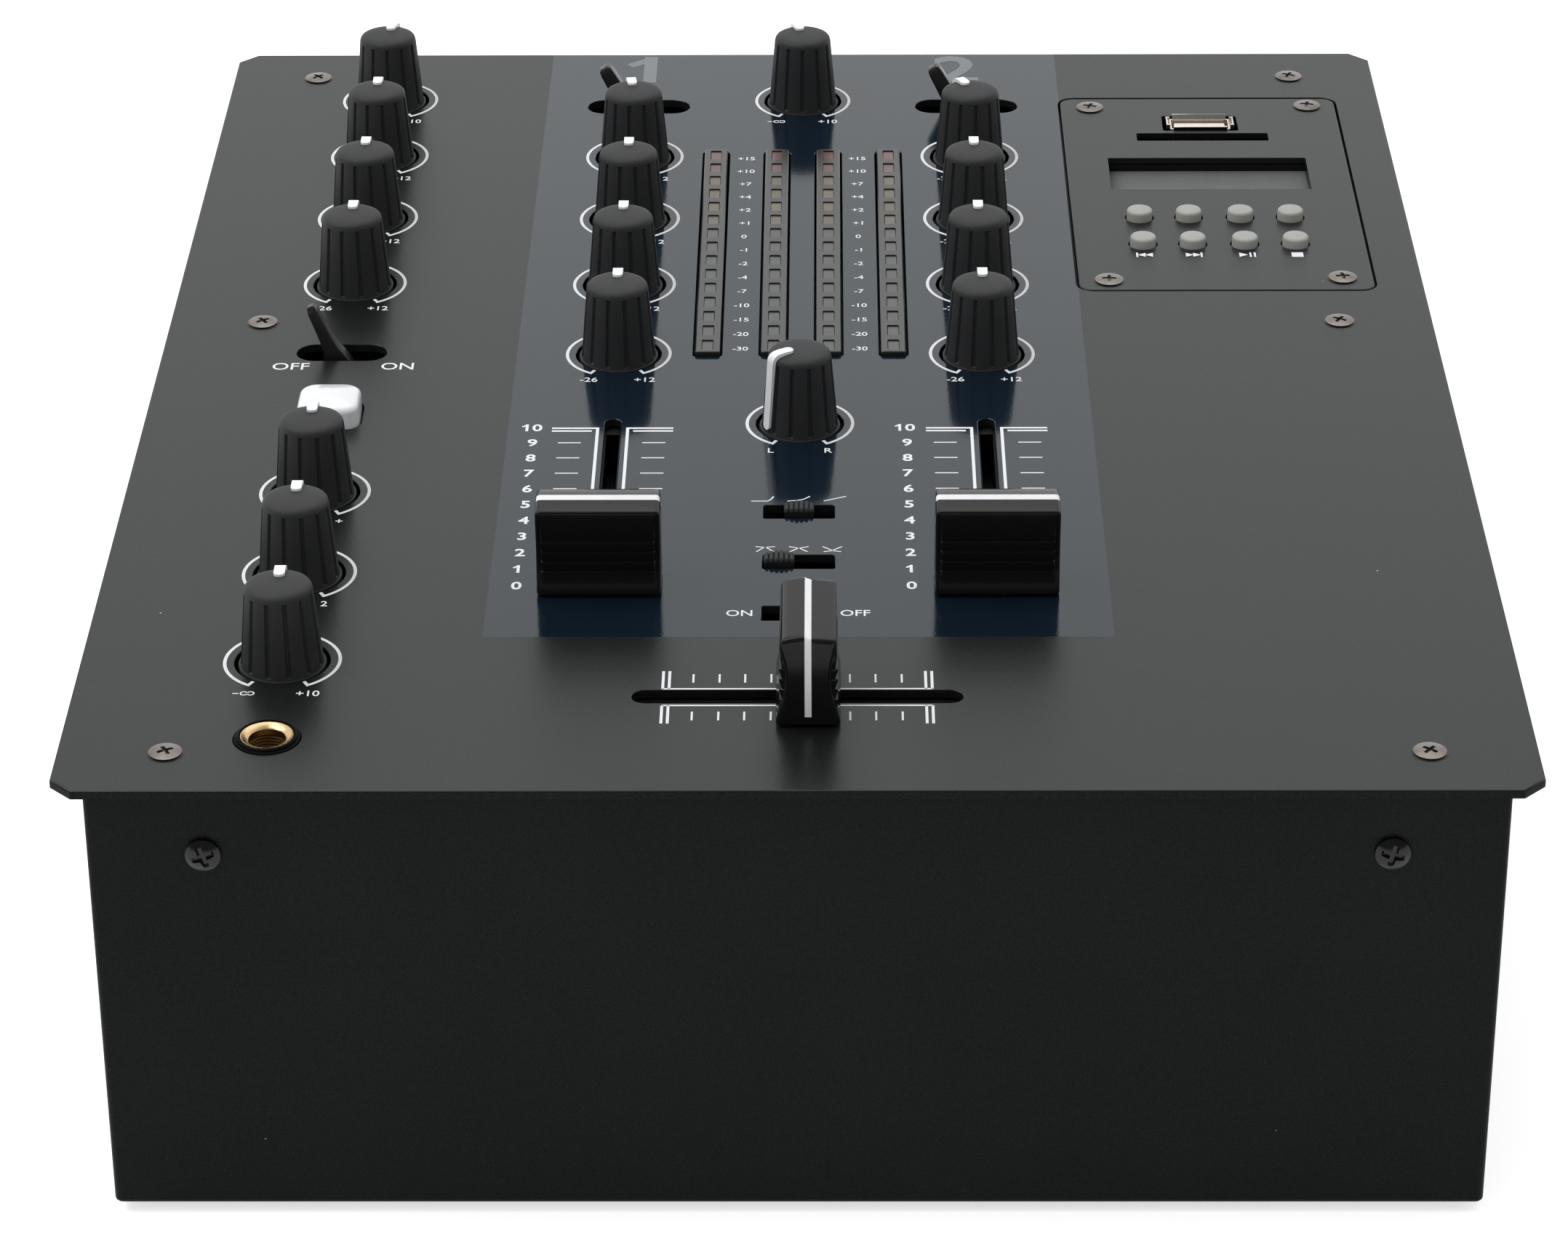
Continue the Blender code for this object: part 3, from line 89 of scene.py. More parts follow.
KNOB_PROFILE = [
    (0.0, 0.016),
    (0.0018, 0.01598),
    (0.0034, 0.0159),
    (0.0045, 0.01577),
    (0.0052, 0.0156),
    (0.00567, 0.01534),
    (0.00596, 0.01494),
    (0.0061, GROOVE_TOP),
    (0.0067, 0.0075),
    (0.00728, 0.0009),
    (0.00735, GROOVE_FOOT),
    (0.0074, -0.0001),
    (0.00775, -0.00015),
    (0.0078, -0.0003),
    (0.0078, -0.001),
    (0.0, -0.001),
]
POINTER_WIDTH = 0.002
POINTER_PROUD = 0.00045
POINTER_SUNK = 0.0004
POINTER_PATH = [
    (0.0016, 0.016),
    (0.004, 0.01602),
    (0.0052, 0.01592),
    (0.00578, 0.01565),
    (0.0061, 0.0152),
    (0.00622, 0.0145),
    (0.00672, 0.0075),
    (0.00727, 0.0007),
]

# Printing on the faceplate
INK_THICKNESS = 0.00004
INK_SUNK = 0.00001
DIAL_RADIUS = 0.0102
DIAL_STROKE = 0.00062
DIAL_GAP = 29
DIAL_TICK = 0.0012
DIAL_STEPS = 56
MARK_HEIGHT = 0.0019
MARK_REACH = 0.0055
MARK_DROP = 0.0117
MARK_BOLD = 0.012
LETTER_SHARE = 0.7
TICK_HALF = 0.00018
# Channel scales: x of their numbers, first number's y, pitch, height, both ends of a tick by distance from
# the slot, and the bars beside the slot by nearest x, front, farthest x and back
SCALE_NUMBER_XS = (-0.0513, 0.0206)
SCALE_FIRST = 0.0733
SCALE_PITCH = 0.00643
SCALE_FIGURE = 0.0028
SCALE_TICK = (0.0059, 0.0103)
SCALE_BARS = [
    (0.0026, 0.074, 0.0032, 0.1377),
    (0.0032, 0.1371, 0.0117, 0.1377),
    (0.004, 0.1359, 0.0117, 0.1365),
]
# Crossfader's ladder: its rails with the way their ticks point, end bars and ticks by distance from the
# middle, half widths of rail and end bar
CROSS_RAILS = ((0.0351, 1), (0.0292, -1))
CROSS_ENDS = (0.0236, 0.0225)
CROSS_END_REACH = 0.0063
CROSS_TICKS = (0.0046, 0.0092, 0.0137, 0.0183)
CROSS_TICK = (0.0022, 0.0052)
RAIL_HALF = 0.00022
END_HALF = 0.00025
# Words beside the switches: height, x, distance from the front edge
SWITCH_WORDS = [
    ("OFF", 0.003, -0.1008, 0.165),
    ("ON", 0.003, -0.0797, 0.165),
    ("ON", 0.0022, -0.0106, 0.0628),
    ("OFF", 0.0022, 0.0103, 0.0628),
]
WORD_BOLD = 0.01
CURVE_ROWS = (0.1075, 0.0875)
CHANNEL_FIGURES = {"1": -0.0342, "2": 0.0342}
CHANNEL_FIGURE = 0.0145
CHANNEL_FIGURE_Y = 0.3175
FIGURE_BOLD = 0.03

# Faders
CAP_HIGH = 0.018
CAP_LOW = 0.0008
CAP_STEP = 0.0005
CAP_LINE = 0.0006
CAP_LINE_LOW = 0.0022
CAP_LINE_DEPTH = 0.00018
# Each half of the cap's top: distance from its middle, drop below its crest
CAP_REAR_TOP = [
    (CAP_LINE, 0.0),
    (0.002, 0.0002),
    (0.0033, 0.00045),
    (0.0041, 0.0007),
    (0.0046, 0.0011),
    (0.00485, 0.0018),
    (0.00492, 0.0027),
]
CAP_FRONT_TOP = [
    (CAP_LINE, CAP_STEP),
    (0.002, 0.00058),
    (0.0033, 0.00068),
    (0.0041, 0.00076),
    (0.00455, 0.00081),
    (0.0047, 0.00086),
    (0.00481, 0.00096),
    (0.00489, 0.0011),
    (0.00492, 0.00124),
    (0.00494, 0.0022),
]
CAP_ENDS = [(0.01125, 0.0008), (0.01117, 0.00045), (0.011, 0.0002), (0.01075, 0.00006), (0.0104, 0.0)]
CAP_GRIP = 0.0101
# Flanks under the top, by distance from the middle and height: shoulder, one ridge, skirt. The front flank
# stands out further than the rear one.
CAP_TOP_DEPTH = 0.002
CAP_SHOULDER = (0.00478, 0.0135)
RIDGES = 4
RIDGE_HIGH = 0.0112
RIDGE_PITCH = 0.002
RIDGE = ((0.00455, -0.00026), (0.0045, 0.0), (0.00497, 0.0001), (0.005, 0.00034))
FRONT_FULLER = 0.0002
CAP_SKIRT_HIGH = 0.0037
CAP_SKIRT = [(0.00532, 0.0026), (0.00552, 0.0018), (0.00564, 0.0012), (0.0056, CAP_LOW)]
# Half depth of the cap at its ends, and how far its waist draws in
CAP_HALF = 0.00492
CAP_WAIST = 0.00092
CHANNEL_REST = 0.074
CHANNEL_SLOT = (0.0033, 0.0723)
CHANNEL_MIDDLE = 0.10535
CROSS_REST = (0.0019, 0.0324)
CROSS_SLOT = (0.058, 0.0046)
STEM = (0.0018, 0.008, 0.009)
STEM_MIDDLE = -0.0031

# Bat levers: x, distance from the front edge, slot length, lean to the left, stretch of the blade
LEVERS = {
    "talkover_lever": (MIC_X, 0.1713, 0.018, 22, (1.0, 1.0)),
    "ch1_source_lever": (CH1_X, 0.2963, 0.0225, 29, (1.4, 1.2)),
    "ch2_source_lever": (CH2_X, 0.2963, 0.0225, 29, (1.4, 1.2)),
}
LEVER_SLOT_WIDTH = 0.0075
LEVER_PIVOT = -0.004
LEVER_SECTIONS = [
    (-0.0022, 0.0034, 0.0034),
    (0.0, 0.0056, 0.0034),
    (0.0024, 0.0051, 0.0034),
    (0.0042, 0.0041, 0.0033),
    (0.0056, 0.0032, 0.0031),
    (0.0078, 0.0026, 0.0028),
    (0.0112, 0.0023, 0.0026),
    (0.0141, 0.0021, 0.0024),
    (0.0151, 0.0018, 0.0021),
    (0.0155, 0.0012, 0.0014),
]
# The blade widens over this part of the lever's length
LEVER_BLADE = (0.0024, 0.0078)

# Slide switches: x at rest, distance from the front edge
SLIDERS = {
    "fader_curve_slider": (0.0, 0.1024),
    "cross_curve_slider": (-0.0036, 0.0825),
    "cross_enable_slider": (0.0036, 0.0628),
}
SLIDER_SLOT = (0.0133, 0.0055)
SLIDER_SIZE = (0.0056, 0.004)
SLIDER_RISE = 0.0016
SLIDER_ARCH = 0.0004
SLIDER_FOOT = -0.0012
SLIDER_TEETH = 6
SLIDER_TOOTH = 0.0004
SLIDER_STEM = (0.003, 0.0024, -0.0072)

# Microphone push button
BUTTON_SPOT = (MIC_X, 0.1435)
BUTTON_SIZE = 0.012
BUTTON_CORNER = 0.0032
BUTTON_EDGE = 0.0013
BUTTON_CROWN = 0.0007
BUTTON_RISE = 0.0048
BUTTON_FOOT = -0.006
BUTTON_HOLE = 0.0128
BUTTON_HOLE_CORNER = 0.0031

# Level meter
METER_XS = (-0.0185, -0.0054, 0.0056, 0.0185)
METER_WINDOW = (0.0058, 0.102)
METER_MIDDLE = 0.2202
METER_BAR = (0.005, 0.1012)
METER_PROUD = 0.0009
METER_COVER = 0.0005
METER_FOOT = -0.004
METER_FIRST = 0.1728
METER_PITCH = 0.00676
METER_SEGMENT = (0.0023, 0.0046)
METER_SCALE = ["-30", "-20", "-15", "-10", "-7", "-4", "-2", "-1", "0", "+1", "+2", "+4", "+7", "+10", "+15"]
METER_SCALE_XS = (-0.012, 0.0118)
METER_FIGURE = 0.0017
METER_BOLD = 0.014
METER_REDS = 2
METER_AMBERS = 4

# Player module
MODULE_CENTRE = (0.0869, 0.25025)
MODULE_SIZE = (0.0604, 0.1001)
MODULE_CORNER = 0.003
MODULE_POCKET = 0.0005
MODULE_THICKNESS = 0.0013
LEDGE_OUTWARDS = 0.0007
LEDGE_INWARDS = 0.008
DISPLAY_CENTRE = (0.08705, 0.25925)
DISPLAY_WINDOW = (0.0425, 0.0165)
DISPLAY_LAP = 0.0018
DISPLAY_DROP = 0.0031
DISPLAY_GAP = 0.0003
DISPLAY_PANEL = 0.0012
USB_CENTRE = (0.0868, 0.2865)
USB_OPENING = (0.0163, 0.008)
USB_SHELL = (0.0131, 0.0057)
USB_WALL = 0.0004
USB_LENGTH = 0.0142
USB_TONGUE = (0.0111, 0.0024, 0.0004)
CARD_CENTRE = (0.08695, 0.279)
CARD_SLOT = (0.0285, 0.004)
PLAYER_BUTTON_XS = (0.0709, 0.0812, 0.092, 0.1025)
PLAYER_BUTTON_YS = (0.2364, 0.2229)
PLAYER_BUTTON_RADIUS = 0.0027
PLAYER_BUTTON_HOLE = 0.003
PLAYER_BUTTON_RISE = 0.002
SYMBOL_Y = 0.2174

# Screws
PLATE_SCREWS = [(x, y) for x in (-0.1083, 0.1083) for y in (0.013, 0.1853, 0.3128)]
MODULE_SCREWS = [(0.0632, 0.2952), (0.111, 0.296), (0.063, 0.205), (0.1108, 0.206)]
FRONT_SCREWS = [(-0.1017, 0.075), (0.1018, 0.0752)]
SCREW_RADIUS = 0.0029
SCREW_RECESS = 0.0009
# Heads: radius, crown, height of the rim, length of the cross
RAISED_HEAD = (SCREW_RADIUS, 0.0003, 0.00028, 0.0018)
PAN_HEAD = (0.00305, 0.001, 0.0008, 0.0027)

# Headphone and microphone jacks
PHONES_SPOT = (-0.0913, 0.018)
JACK_HOLE = 0.0059
JACK_BORE = 0.00325
JACK_MOUTH = 0.0047
JACK_LENGTH = 0.028
JACK_BODY = 0.013
JACK_TUNNEL = 0.0046

# Tub, feet and the row of connectors on its back wall
TUB_SIZE = (0.2436, 0.318, 0.0848)
TUB_CENTRE_Y = -0.0025
TUB_LOW = 0.003
SHEET = 0.0012
TUB_BEND = 0.0011
FRONT_WALL = -0.1615
REAR_WALL = 0.1565
REAR_ROW = 0.048
FOOT_SPOTS = [(sx * 0.1018, y) for sx in (-1, 1) for y in (-0.1415, 0.1365)]
MIC_JACK_X = -0.098
PHONO_BLOCKS = {"ch1_rca_block": -0.062, "ch2_rca_block": -0.002, "output_rca_block": 0.034}
PHONO_SPREAD = 0.007
PHONO_RADIUS = 0.00415
PHONO_BLOCK = (0.0305, 0.012, 0.0305)
PHONO_SIDES = 36
WALL_GAP = 0.0004
GROUND_X = -0.032
GROUND_HOLE = 0.0021
INLET_X = 0.088
INLET_FLANGE = (0.05, 0.03)
INLET_BODY = (0.0464, 0.0264)
INLET_PROUD = 0.0025
SOCKET_X = 0.0985
SOCKET_SIZE = (0.0244, 0.0166)
ROCKER_X = 0.0745
ROCKER_SIZE = (0.0144, 0.0184)
ROCKER_TILT = 8
ROCKER_SUNK = 0.003
FACING_BACK = Matrix(((-1, 0, 0, 0), (0, 0, 1, 0), (0, 1, 0, 0), (0, 0, 0, 1)))
FACING_FRONT = Matrix(((1, 0, 0, 0), (0, 0, -1, 0), (0, 1, 0, 0), (0, 0, 0, 1)))

# Camera, as the photograph was taken
CAMERA_PLACE = (0.004946, -0.900088, 0.52425)
CAMERA_PITCH = 28.677
CAMERA_YAW = 0.539
CAMERA_ROLL = -0.312
CAMERA_LENS = 115.89

# Studio
FLOOR_GLOW = 0.62
STUDIO_FRONT = 0.18
STUDIO_BACK = 1.25
STUDIO_FILL = 0.6
# Lamps: place, side, power
LAMPS = {
    "back softbox": ((0.2, 1.0, 1.9), 1.6, 7),
    "left softbox": ((-0.9, 0.0, 1.6), 1.2, 15),
}

# Dark and light of the powder paint's grain
POWDER_TONES = ((0.0022, 0.0024, 0.0023), (0.0148, 0.0156, 0.0152))

# How finely round shapes are made, and the angle from which an edge is sharp
ROUND_SIDES = 48
SMALL_SIDES = 32
CORNER_STEPS = 6
SHARP_ANGLE = math.radians(38)
WELD = 1e-7


# Shapes -----------------------------------------------------------------------------------------------


def on_plate(spot, rise=0.0):
    """A spot on the faceplate as a point of the frame."""
    return Vector((spot[0], FRONT_EDGE + spot[1], PLATE_TOP + rise))


def placed(shape, place, turn=None):
    """Turns a shape about its own origin and carries it to a place."""
    if turn is not None:
        bmesh.ops.transform(shape, matrix=turn, verts=shape.verts)
    bmesh.ops.translate(shape, vec=place, verts=shape.verts)
    return shape


def copy_of(shape, place, turn=None):
    """Another of a shape, put in its place."""
    return placed(shape.copy(), place, turn)


def turn_about(axis, degrees):
    """A turn about one of the axes."""
    return Matrix.Rotation(math.radians(degrees), 4, axis)


def in_scene(name, data):
    """A new object in the scene."""
    obj = bpy.data.objects.new(name, data)
    bpy.context.scene.collection.objects.link(obj)
    return obj


def in_order(items, place):
    """Sorts points, edges or faces by place, because an extrude or a spin leaves them in any order."""
    ranked = sorted(items, key=lambda item: [round(side, 7) for side in place(item)])
    rank = {item: k for k, item in enumerate(ranked)}
    items.sort(key=rank.__getitem__)


def as_mesh(name, shape):
    """A shape as a mesh that is the same each run, the shape used up."""
    in_order(shape.verts, lambda vert: vert.co)
    in_order(shape.edges, lambda edge: edge.verts[0].co + edge.verts[1].co)
    in_order(shape.faces, lambda face: face.calc_center_median())
    mesh = bpy.data.meshes.new(name)
    shape.to_mesh(mesh)
    shape.free()
    return mesh


def joined(shapes):
    """Several shapes as one, each used up."""
    whole = bmesh.new()
    for shape in shapes:
        mesh = as_mesh("joined", shape)
        whole.from_mesh(mesh)
        bpy.data.meshes.remove(mesh)
    return whole


def smoothed(shape):
    """Marks every face of a shape as round."""
    for face in shape.faces:
        face.smooth = True
    return shape


def turned(profile, steps=ROUND_SIDES):
    """A body turned about Z from a line of (radius, height): a ring, unless the line starts on the axis."""
    shape = bmesh.new()
    verts = [shape.verts.new((radius, 0, height)) for radius, height in profile]
    ahead = verts[1:] if profile[0][0] == 0 else verts[1:] + verts[:1]
    edges = [shape.edges.new(pair) for pair in zip(verts, ahead)]
    bmesh.ops.spin(
        shape, geom=verts + edges, cent=(0, 0, 0), axis=(0, 0, 1), angle=math.tau, steps=steps, use_merge=True
    )
    bmesh.ops.remove_doubles(shape, verts=shape.verts, dist=WELD)
    bmesh.ops.recalc_face_normals(shape, faces=shape.faces)
    return smoothed(shape)


def block(size, edge=0.0):
    """A box about the origin, with its edges rounded."""
    shape = bmesh.new()
    bmesh.ops.create_cube(shape, size=1, matrix=Matrix.Diagonal((*size, 1)))
    if edge:
        made = bmesh.ops.bevel(
            shape,
            geom=shape.edges[:],
            offset=edge,
            affect="EDGES",
            segments=2,
            profile=0.5,
            material=-1,
        )
        for face in made["faces"]:
            face.smooth = True
    return shape


def opening(x, y, width, depth, corner, steps=CORNER_STEPS):
    """An outline with rounded corners, or cut ones if they have one step: centre, size, corner, steps."""
    return Vector((x, y, 0)), (width, depth), corner, steps


def hole(x, y, radius):
    """A round outline."""
    return opening(x, y, 2 * radius, 2 * radius, radius)


def add_line(shape, outline, grow):
    """Adds an outline's closed line at z = 0, grown outwards by that much, and returns its edges."""
    centre, (width, depth), corner, steps = outline
    place = Matrix.Translation(centre)
    width, depth, corner = width + 2 * grow, depth + 2 * grow, corner + grow
    if width == depth and corner == width / 2:
        made = bmesh.ops.create_circle(shape, segments=ROUND_SIDES, radius=corner, matrix=place)
        return list(dict.fromkeys(edge for vert in made["verts"] for edge in vert.link_edges))
    size = place @ Matrix.Diagonal((width, depth, 1, 1))
    made = bmesh.ops.create_grid(shape, x_segments=1, y_segments=1, size=0.5, matrix=size)
    bmesh.ops.bevel(
        shape,
        geom=made["verts"],
        offset=min(corner, 0.499 * min(width, depth)),
        affect="VERTICES",
        segments=steps,
        profile=0.5,
        material=-1,
    )
    (face,) = shape.faces
    edges = list(face.edges)
    bmesh.ops.delete(shape, geom=[face], context="FACES_ONLY")
    return edges


def new_edges(made):
    """The moved copies of the edges that an extrude has made, and their vertices."""
    verts = [item for item in made["geom"] if isinstance(item, bmesh.types.BMVert)]
    moved = set(verts)
    edges = [
        item for item in made["geom"] if isinstance(item, bmesh.types.BMEdge) and moved.issuperset(item.verts)
    ]
    return edges, verts


def carried_down(shape, edges, outline, stations):
    """Carries an outline's line through stations of (height, growth), with a wall between each two."""
    centre, size, *_ = outline
    (height, grow), *others = stations
    for next_height, next_grow in others:
        edges, verts = new_edges(bmesh.ops.extrude_edge_only(shape, edges=edges))
        stretch = [(side + 2 * next_grow) / (side + 2 * grow) for side in size]
        bmesh.ops.scale(shape, vec=(*stretch, 1), space=Matrix.Translation(-centre), verts=verts)
        bmesh.ops.translate(shape, vec=(0, 0, next_height - height), verts=verts)
        height, grow = next_height, next_grow
    return edges


def pierced_sheet(outline, openings, rim, lip):
    """A flat sheet with openings. Its rim and the openings' lips run through stations of (height, growth)."""
    shape = bmesh.new()
    lines = [(add_line(shape, outline, rim[0][1]), outline, rim)]
    lines += [(add_line(shape, each, lip[0][1]), each, lip) for each in openings]
    bmesh.ops.triangle_fill(shape, edges=shape.edges[:], use_beauty=True, normal=(0, 0, 1))
    ends = []
    for edges, each, stations in lines:
        ends += carried_down(shape, edges, each, stations)
    bmesh.ops.triangle_fill(shape, edges=ends, use_beauty=True, normal=(0, 0, -1))
    bmesh.ops.recalc_face_normals(shape, faces=shape.faces)
    shape.normal_update()
    for face in shape.faces:
        face.smooth = abs(face.normal.z) < 0.999
    return shape


def quarter_round(radius, drop, steps=4):
    """Stations of a rounded top edge, from the flat inwards of it, then straight down to a depth."""
    turns = [math.radians(90 * k / steps) for k in range(steps + 1)]
    stations = [(-radius * (1 - math.cos(turn)), -radius * (1 - math.sin(turn))) for turn in turns]
    return stations + [(-drop, 0.0)]


def cut_lip(edge, depth):
    """Stations of a lip with its edge cut, then straight down to a depth."""
    return [(0.0, edge), (-edge, 0.0), (-depth, 0.0)]


def straight(depth):
    """Stations of a plain edge, straight down to a depth."""
    return [(0.0, 0.0), (-depth, 0.0)]


def grown(outline, stations):
    """A solid that runs up from an outline through stations of (height, width, depth)."""
    centre, _, corner, _ = outline
    first_height, width, depth = stations[0]
    shape = bmesh.new()
    edges = add_line(shape, opening(0, 0, width, depth, corner), 0.0)
    bmesh.ops.contextual_create(shape, geom=edges)
    (face,) = shape.faces
    bmesh.ops.translate(shape, vec=(0, 0, first_height), verts=shape.verts)
    height = first_height
    for next_height, next_width, next_depth in stations[1:]:
        made = bmesh.ops.extrude_face_region(shape, geom=[face])["geom"]
        bmesh.ops.delete(shape, geom=[face], context="FACES_ONLY")
        (face,) = [item for item in made if isinstance(item, bmesh.types.BMFace)]
        stretch = (next_width / width, next_depth / depth, 1)
        bmesh.ops.scale(shape, vec=stretch, verts=face.verts)
        bmesh.ops.translate(shape, vec=(0, 0, next_height - height), verts=face.verts)
        height, width, depth = next_height, next_width, next_depth
    bmesh.ops.contextual_create(shape, geom=[edge for edge in shape.edges if edge.is_boundary])
    bmesh.ops.translate(shape, vec=centre, verts=shape.verts)
    bmesh.ops.recalc_face_normals(shape, faces=shape.faces)
    return smoothed(shape)


def lofted(sections):
    """A closed solid through lines of as many points each, round between its two flat ends."""
    shape = bmesh.new()
    lines = []
    for section in sections:
        verts = [shape.verts.new(point) for point in section]
        lines.append([shape.edges.new(pair) for pair in zip(verts, verts[1:] + verts[:1])])
    for lower, upper in zip(lines, lines[1:]):
        bmesh.ops.bridge_loops(shape, edges=lower + upper)
    smoothed(shape)
    for end in (lines[0], lines[-1]):
        for face in bmesh.ops.contextual_create(shape, geom=end)["faces"]:
            face.smooth = False
    bmesh.ops.recalc_face_normals(shape, faces=shape.faces)
    return shape


def ribbon(path, width, under, over, corner=0.0):
    """A strap so wide along X that follows a line of (y, z), from under the line to over it."""
    strap = bmesh.new()
    points = [Vector((0, *point)) for point in path]
    half = Vector((width / 2, 0, 0))
    edges = [strap.edges.new([strap.verts.new(points[0] - half), strap.verts.new(points[0] + half)])]
    for before, point in zip(points, points[1:]):
        edges, verts = new_edges(bmesh.ops.extrude_edge_only(strap, edges=edges))
        bmesh.ops.translate(strap, vec=point - before, verts=verts)
    if corner:
        ends = [vert for vert in strap.verts if len(vert.link_edges) == 2]
        bmesh.ops.bevel(
            strap, geom=ends, offset=corner, affect="VERTICES", segments=5, profile=0.5, material=-1
        )
    strap.normal_update()
    if max(strap.faces, key=lambda face: face.calc_center_median().z).normal.z < 0:
        bmesh.ops.reverse_faces(strap, faces=strap.faces)
    strap.normal_update()
    ways_out = {vert: vert.normal.copy() for vert in strap.verts}
    for vert, way_out in ways_out.items():
        vert.co -= way_out * under
    made = bmesh.ops.extrude_face_region(strap, geom=strap.faces[:])["geom"]
    strap.normal_update()
    tops = [item for item in made if isinstance(item, bmesh.types.BMFace)]
    ways_out = {vert: Vector() for face in tops for vert in face.verts}
    for face in tops:
        for vert in face.verts:
            ways_out[vert] += face.normal
    for vert, way_out in ways_out.items():
        vert.co += way_out.normalized() * (under + over)
    bmesh.ops.recalc_face_normals(strap, faces=strap.faces)
    return smoothed(strap)


def carved(body, tool):
    """A shape with another one cut out of it."""
    solid, cutter = [in_scene("scratch", as_mesh("scratch", shape)) for shape in (body, tool)]
    cut = solid.modifiers.new("cut", "BOOLEAN")
    cut.operation = "DIFFERENCE"
    cut.solver = "EXACT"
    cut.object = cutter
    cut.use_self = True
    depsgraph = bpy.context.evaluated_depsgraph_get()
    mesh = bpy.data.meshes.new_from_object(solid.evaluated_get(depsgraph))
    shape = bmesh.new()
    shape.from_mesh(mesh)
    bpy.data.meshes.remove(mesh)
    for obj in (solid, cutter):
        mesh = obj.data
        bpy.data.objects.remove(obj)
        bpy.data.meshes.remove(mesh)
    return shape


def piece(name, shape, finish, body, nodes=()):
    """Puts a shape into the scene as a piece that rides on a body and stands for CAD nodes."""
    shape.normal_update()
    for edge in shape.edges:
        edge.smooth = edge.calc_face_angle(0.0) < SHARP_ANGLE
    mesh = as_mesh(name, shape)
    mesh.materials.append(finish)
    obj = in_scene(name, mesh)
    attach(obj, body)
    if nodes:
        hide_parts(*nodes)
    return obj


# Finishes ---------------------------------------------------------------------------------------------


class Value:
    """A shader socket that takes part in arithmetic: each operation adds a Math node."""

    def __init__(self, finish, socket):
        self.finish = finish
        self.socket = socket

    def maths(self, operation, first, second):
        made = self.finish.node("ShaderNodeMath", {"operation": operation}, {0: first, 1: second})
        return Value(self.finish, made.outputs[0])

    def __add__(self, other):
        return self.maths("ADD", self, other)

    def __radd__(self, other):
        return self.maths("ADD", other, self)

    def __sub__(self, other):
        return self.maths("SUBTRACT", self, other)

    def __rsub__(self, other):
        return self.maths("SUBTRACT", other, self)

    def __mul__(self, other):
        return self.maths("MULTIPLY", self, other)

    def __rmul__(self, other):
        return self.maths("MULTIPLY", other, self)

    def __gt__(self, other):
        return self.maths("GREATER_THAN", self, other)

    def __lt__(self, other):
        return self.maths("LESS_THAN", self, other)

    def at_most(self, other):
        return self.maths("MINIMUM", self, other)

    def at_least(self, other):
        return self.maths("MAXIMUM", self, other)


class Shading:
    """The nodes of a material or of the world, round one shader."""

    def __init__(self, owner, shader, place, **sockets):
        owner.use_nodes = True
        self.owner = owner
        self.tree = owner.node_tree
        self.shader = next(node for node in self.tree.nodes if node.type == shader)
        for label, value in sockets.items():
            self.shader.inputs[label.replace("_", " ")].default_value = value
        self.place = self.node("ShaderNodeTexCoord").outputs[place]

    def node(self, kind, settings=None, inputs=None):
        """Adds a node: its settings first, then the values or links of its sockets."""
        made = self.tree.nodes.new(kind)
        for name, value in (settings or {}).items():
            setattr(made, name, value)
        for name, value in (inputs or {}).items():
            self.feed(made.inputs[name], value)
        return made

    def feed(self, socket, value):
        """Links a value to a socket, or sets it there if it is a plain number or colour."""
        if isinstance(value, Value):
            self.tree.links.new(value.socket, socket)
        elif isinstance(value, bpy.types.NodeSocket):
            self.tree.links.new(value, socket)
        else:
            socket.default_value = value

    def noise(self, scale, detail=2.0, stretch=(1, 1, 1)):
        """Cloudy noise from 0 to 1, so many lumps to the metre."""
        sized = self.node("ShaderNodeMapping", {}, {"Vector": self.place, "Scale": stretch})
        made = self.node(
            "ShaderNodeTexNoise", {}, {"Vector": sized.outputs[0], "Scale": scale, "Detail": detail}
        )
        return Value(self, made.outputs[0])

    def specks(self, scale, size, share):
        """Round dots in a share of the cells of a random mesh, so many cells to the metre."""
        cells = self.node(
            "ShaderNodeTexVoronoi", {"feature": "F1"}, {"Vector": self.place, "Scale": scale}
        )
        chance = self.node("ShaderNodeSeparateColor", {}, {"Color": cells.outputs["Color"]})
        near = Value(self, cells.outputs["Distance"]) < size
        return near * (Value(self, chance.outputs[0]) < share)

    def along(self, axis):
        """The place along X, Y or Z, in metres."""
        parts = self.node("ShaderNodeSeparateXYZ", {}, {0: self.place})
        return Value(self, parts.outputs[axis])

    def blend(self, share, first, second):
        """One colour going over into another."""
        made = self.node("ShaderNodeMix", {"data_type": "RGBA"}, {0: share, 6: first, 7: second})
        return made.outputs[2]

    def dents(self, height, depth, strength):
        """Fine relief from a height of 0 to 1 and the depth it stands for in metres."""
        made = self.node(
            "ShaderNodeBump", {}, {"Height": height, "Strength": strength, "Distance": depth}
        )
        self.feed(self.shader.inputs["Normal"], made.outputs[0])

    def ray(self, *kinds):
        """1 for rays of any of these kinds, or else 0."""
        path = self.node("ShaderNodeLightPath")
        rays = [Value(self, path.outputs[f"Is {kind} Ray"]) for kind in kinds]
        return sum(rays[1:], rays[0]).at_most(1.0)

    def show(self, **sockets):
        """Feeds the shader's sockets and hands over the material or the world."""
        for label, value in sockets.items():
            self.feed(self.shader.inputs[label.replace("_", " ")], value)
        return self.owner


def new_finish(name, **sockets):
    """A new material on Object coordinates, round one Principled shader."""
    return Shading(bpy.data.materials.new(name), "BSDF_PRINCIPLED", "Object", **sockets)


def grey(value):
    """A neutral colour."""
    return (value, value, value, 1)


def tinted(tone, by=1.0):
    """A tone as a colour, lightened or darkened by a factor."""
    return (*(by * part for part in tone), 1)


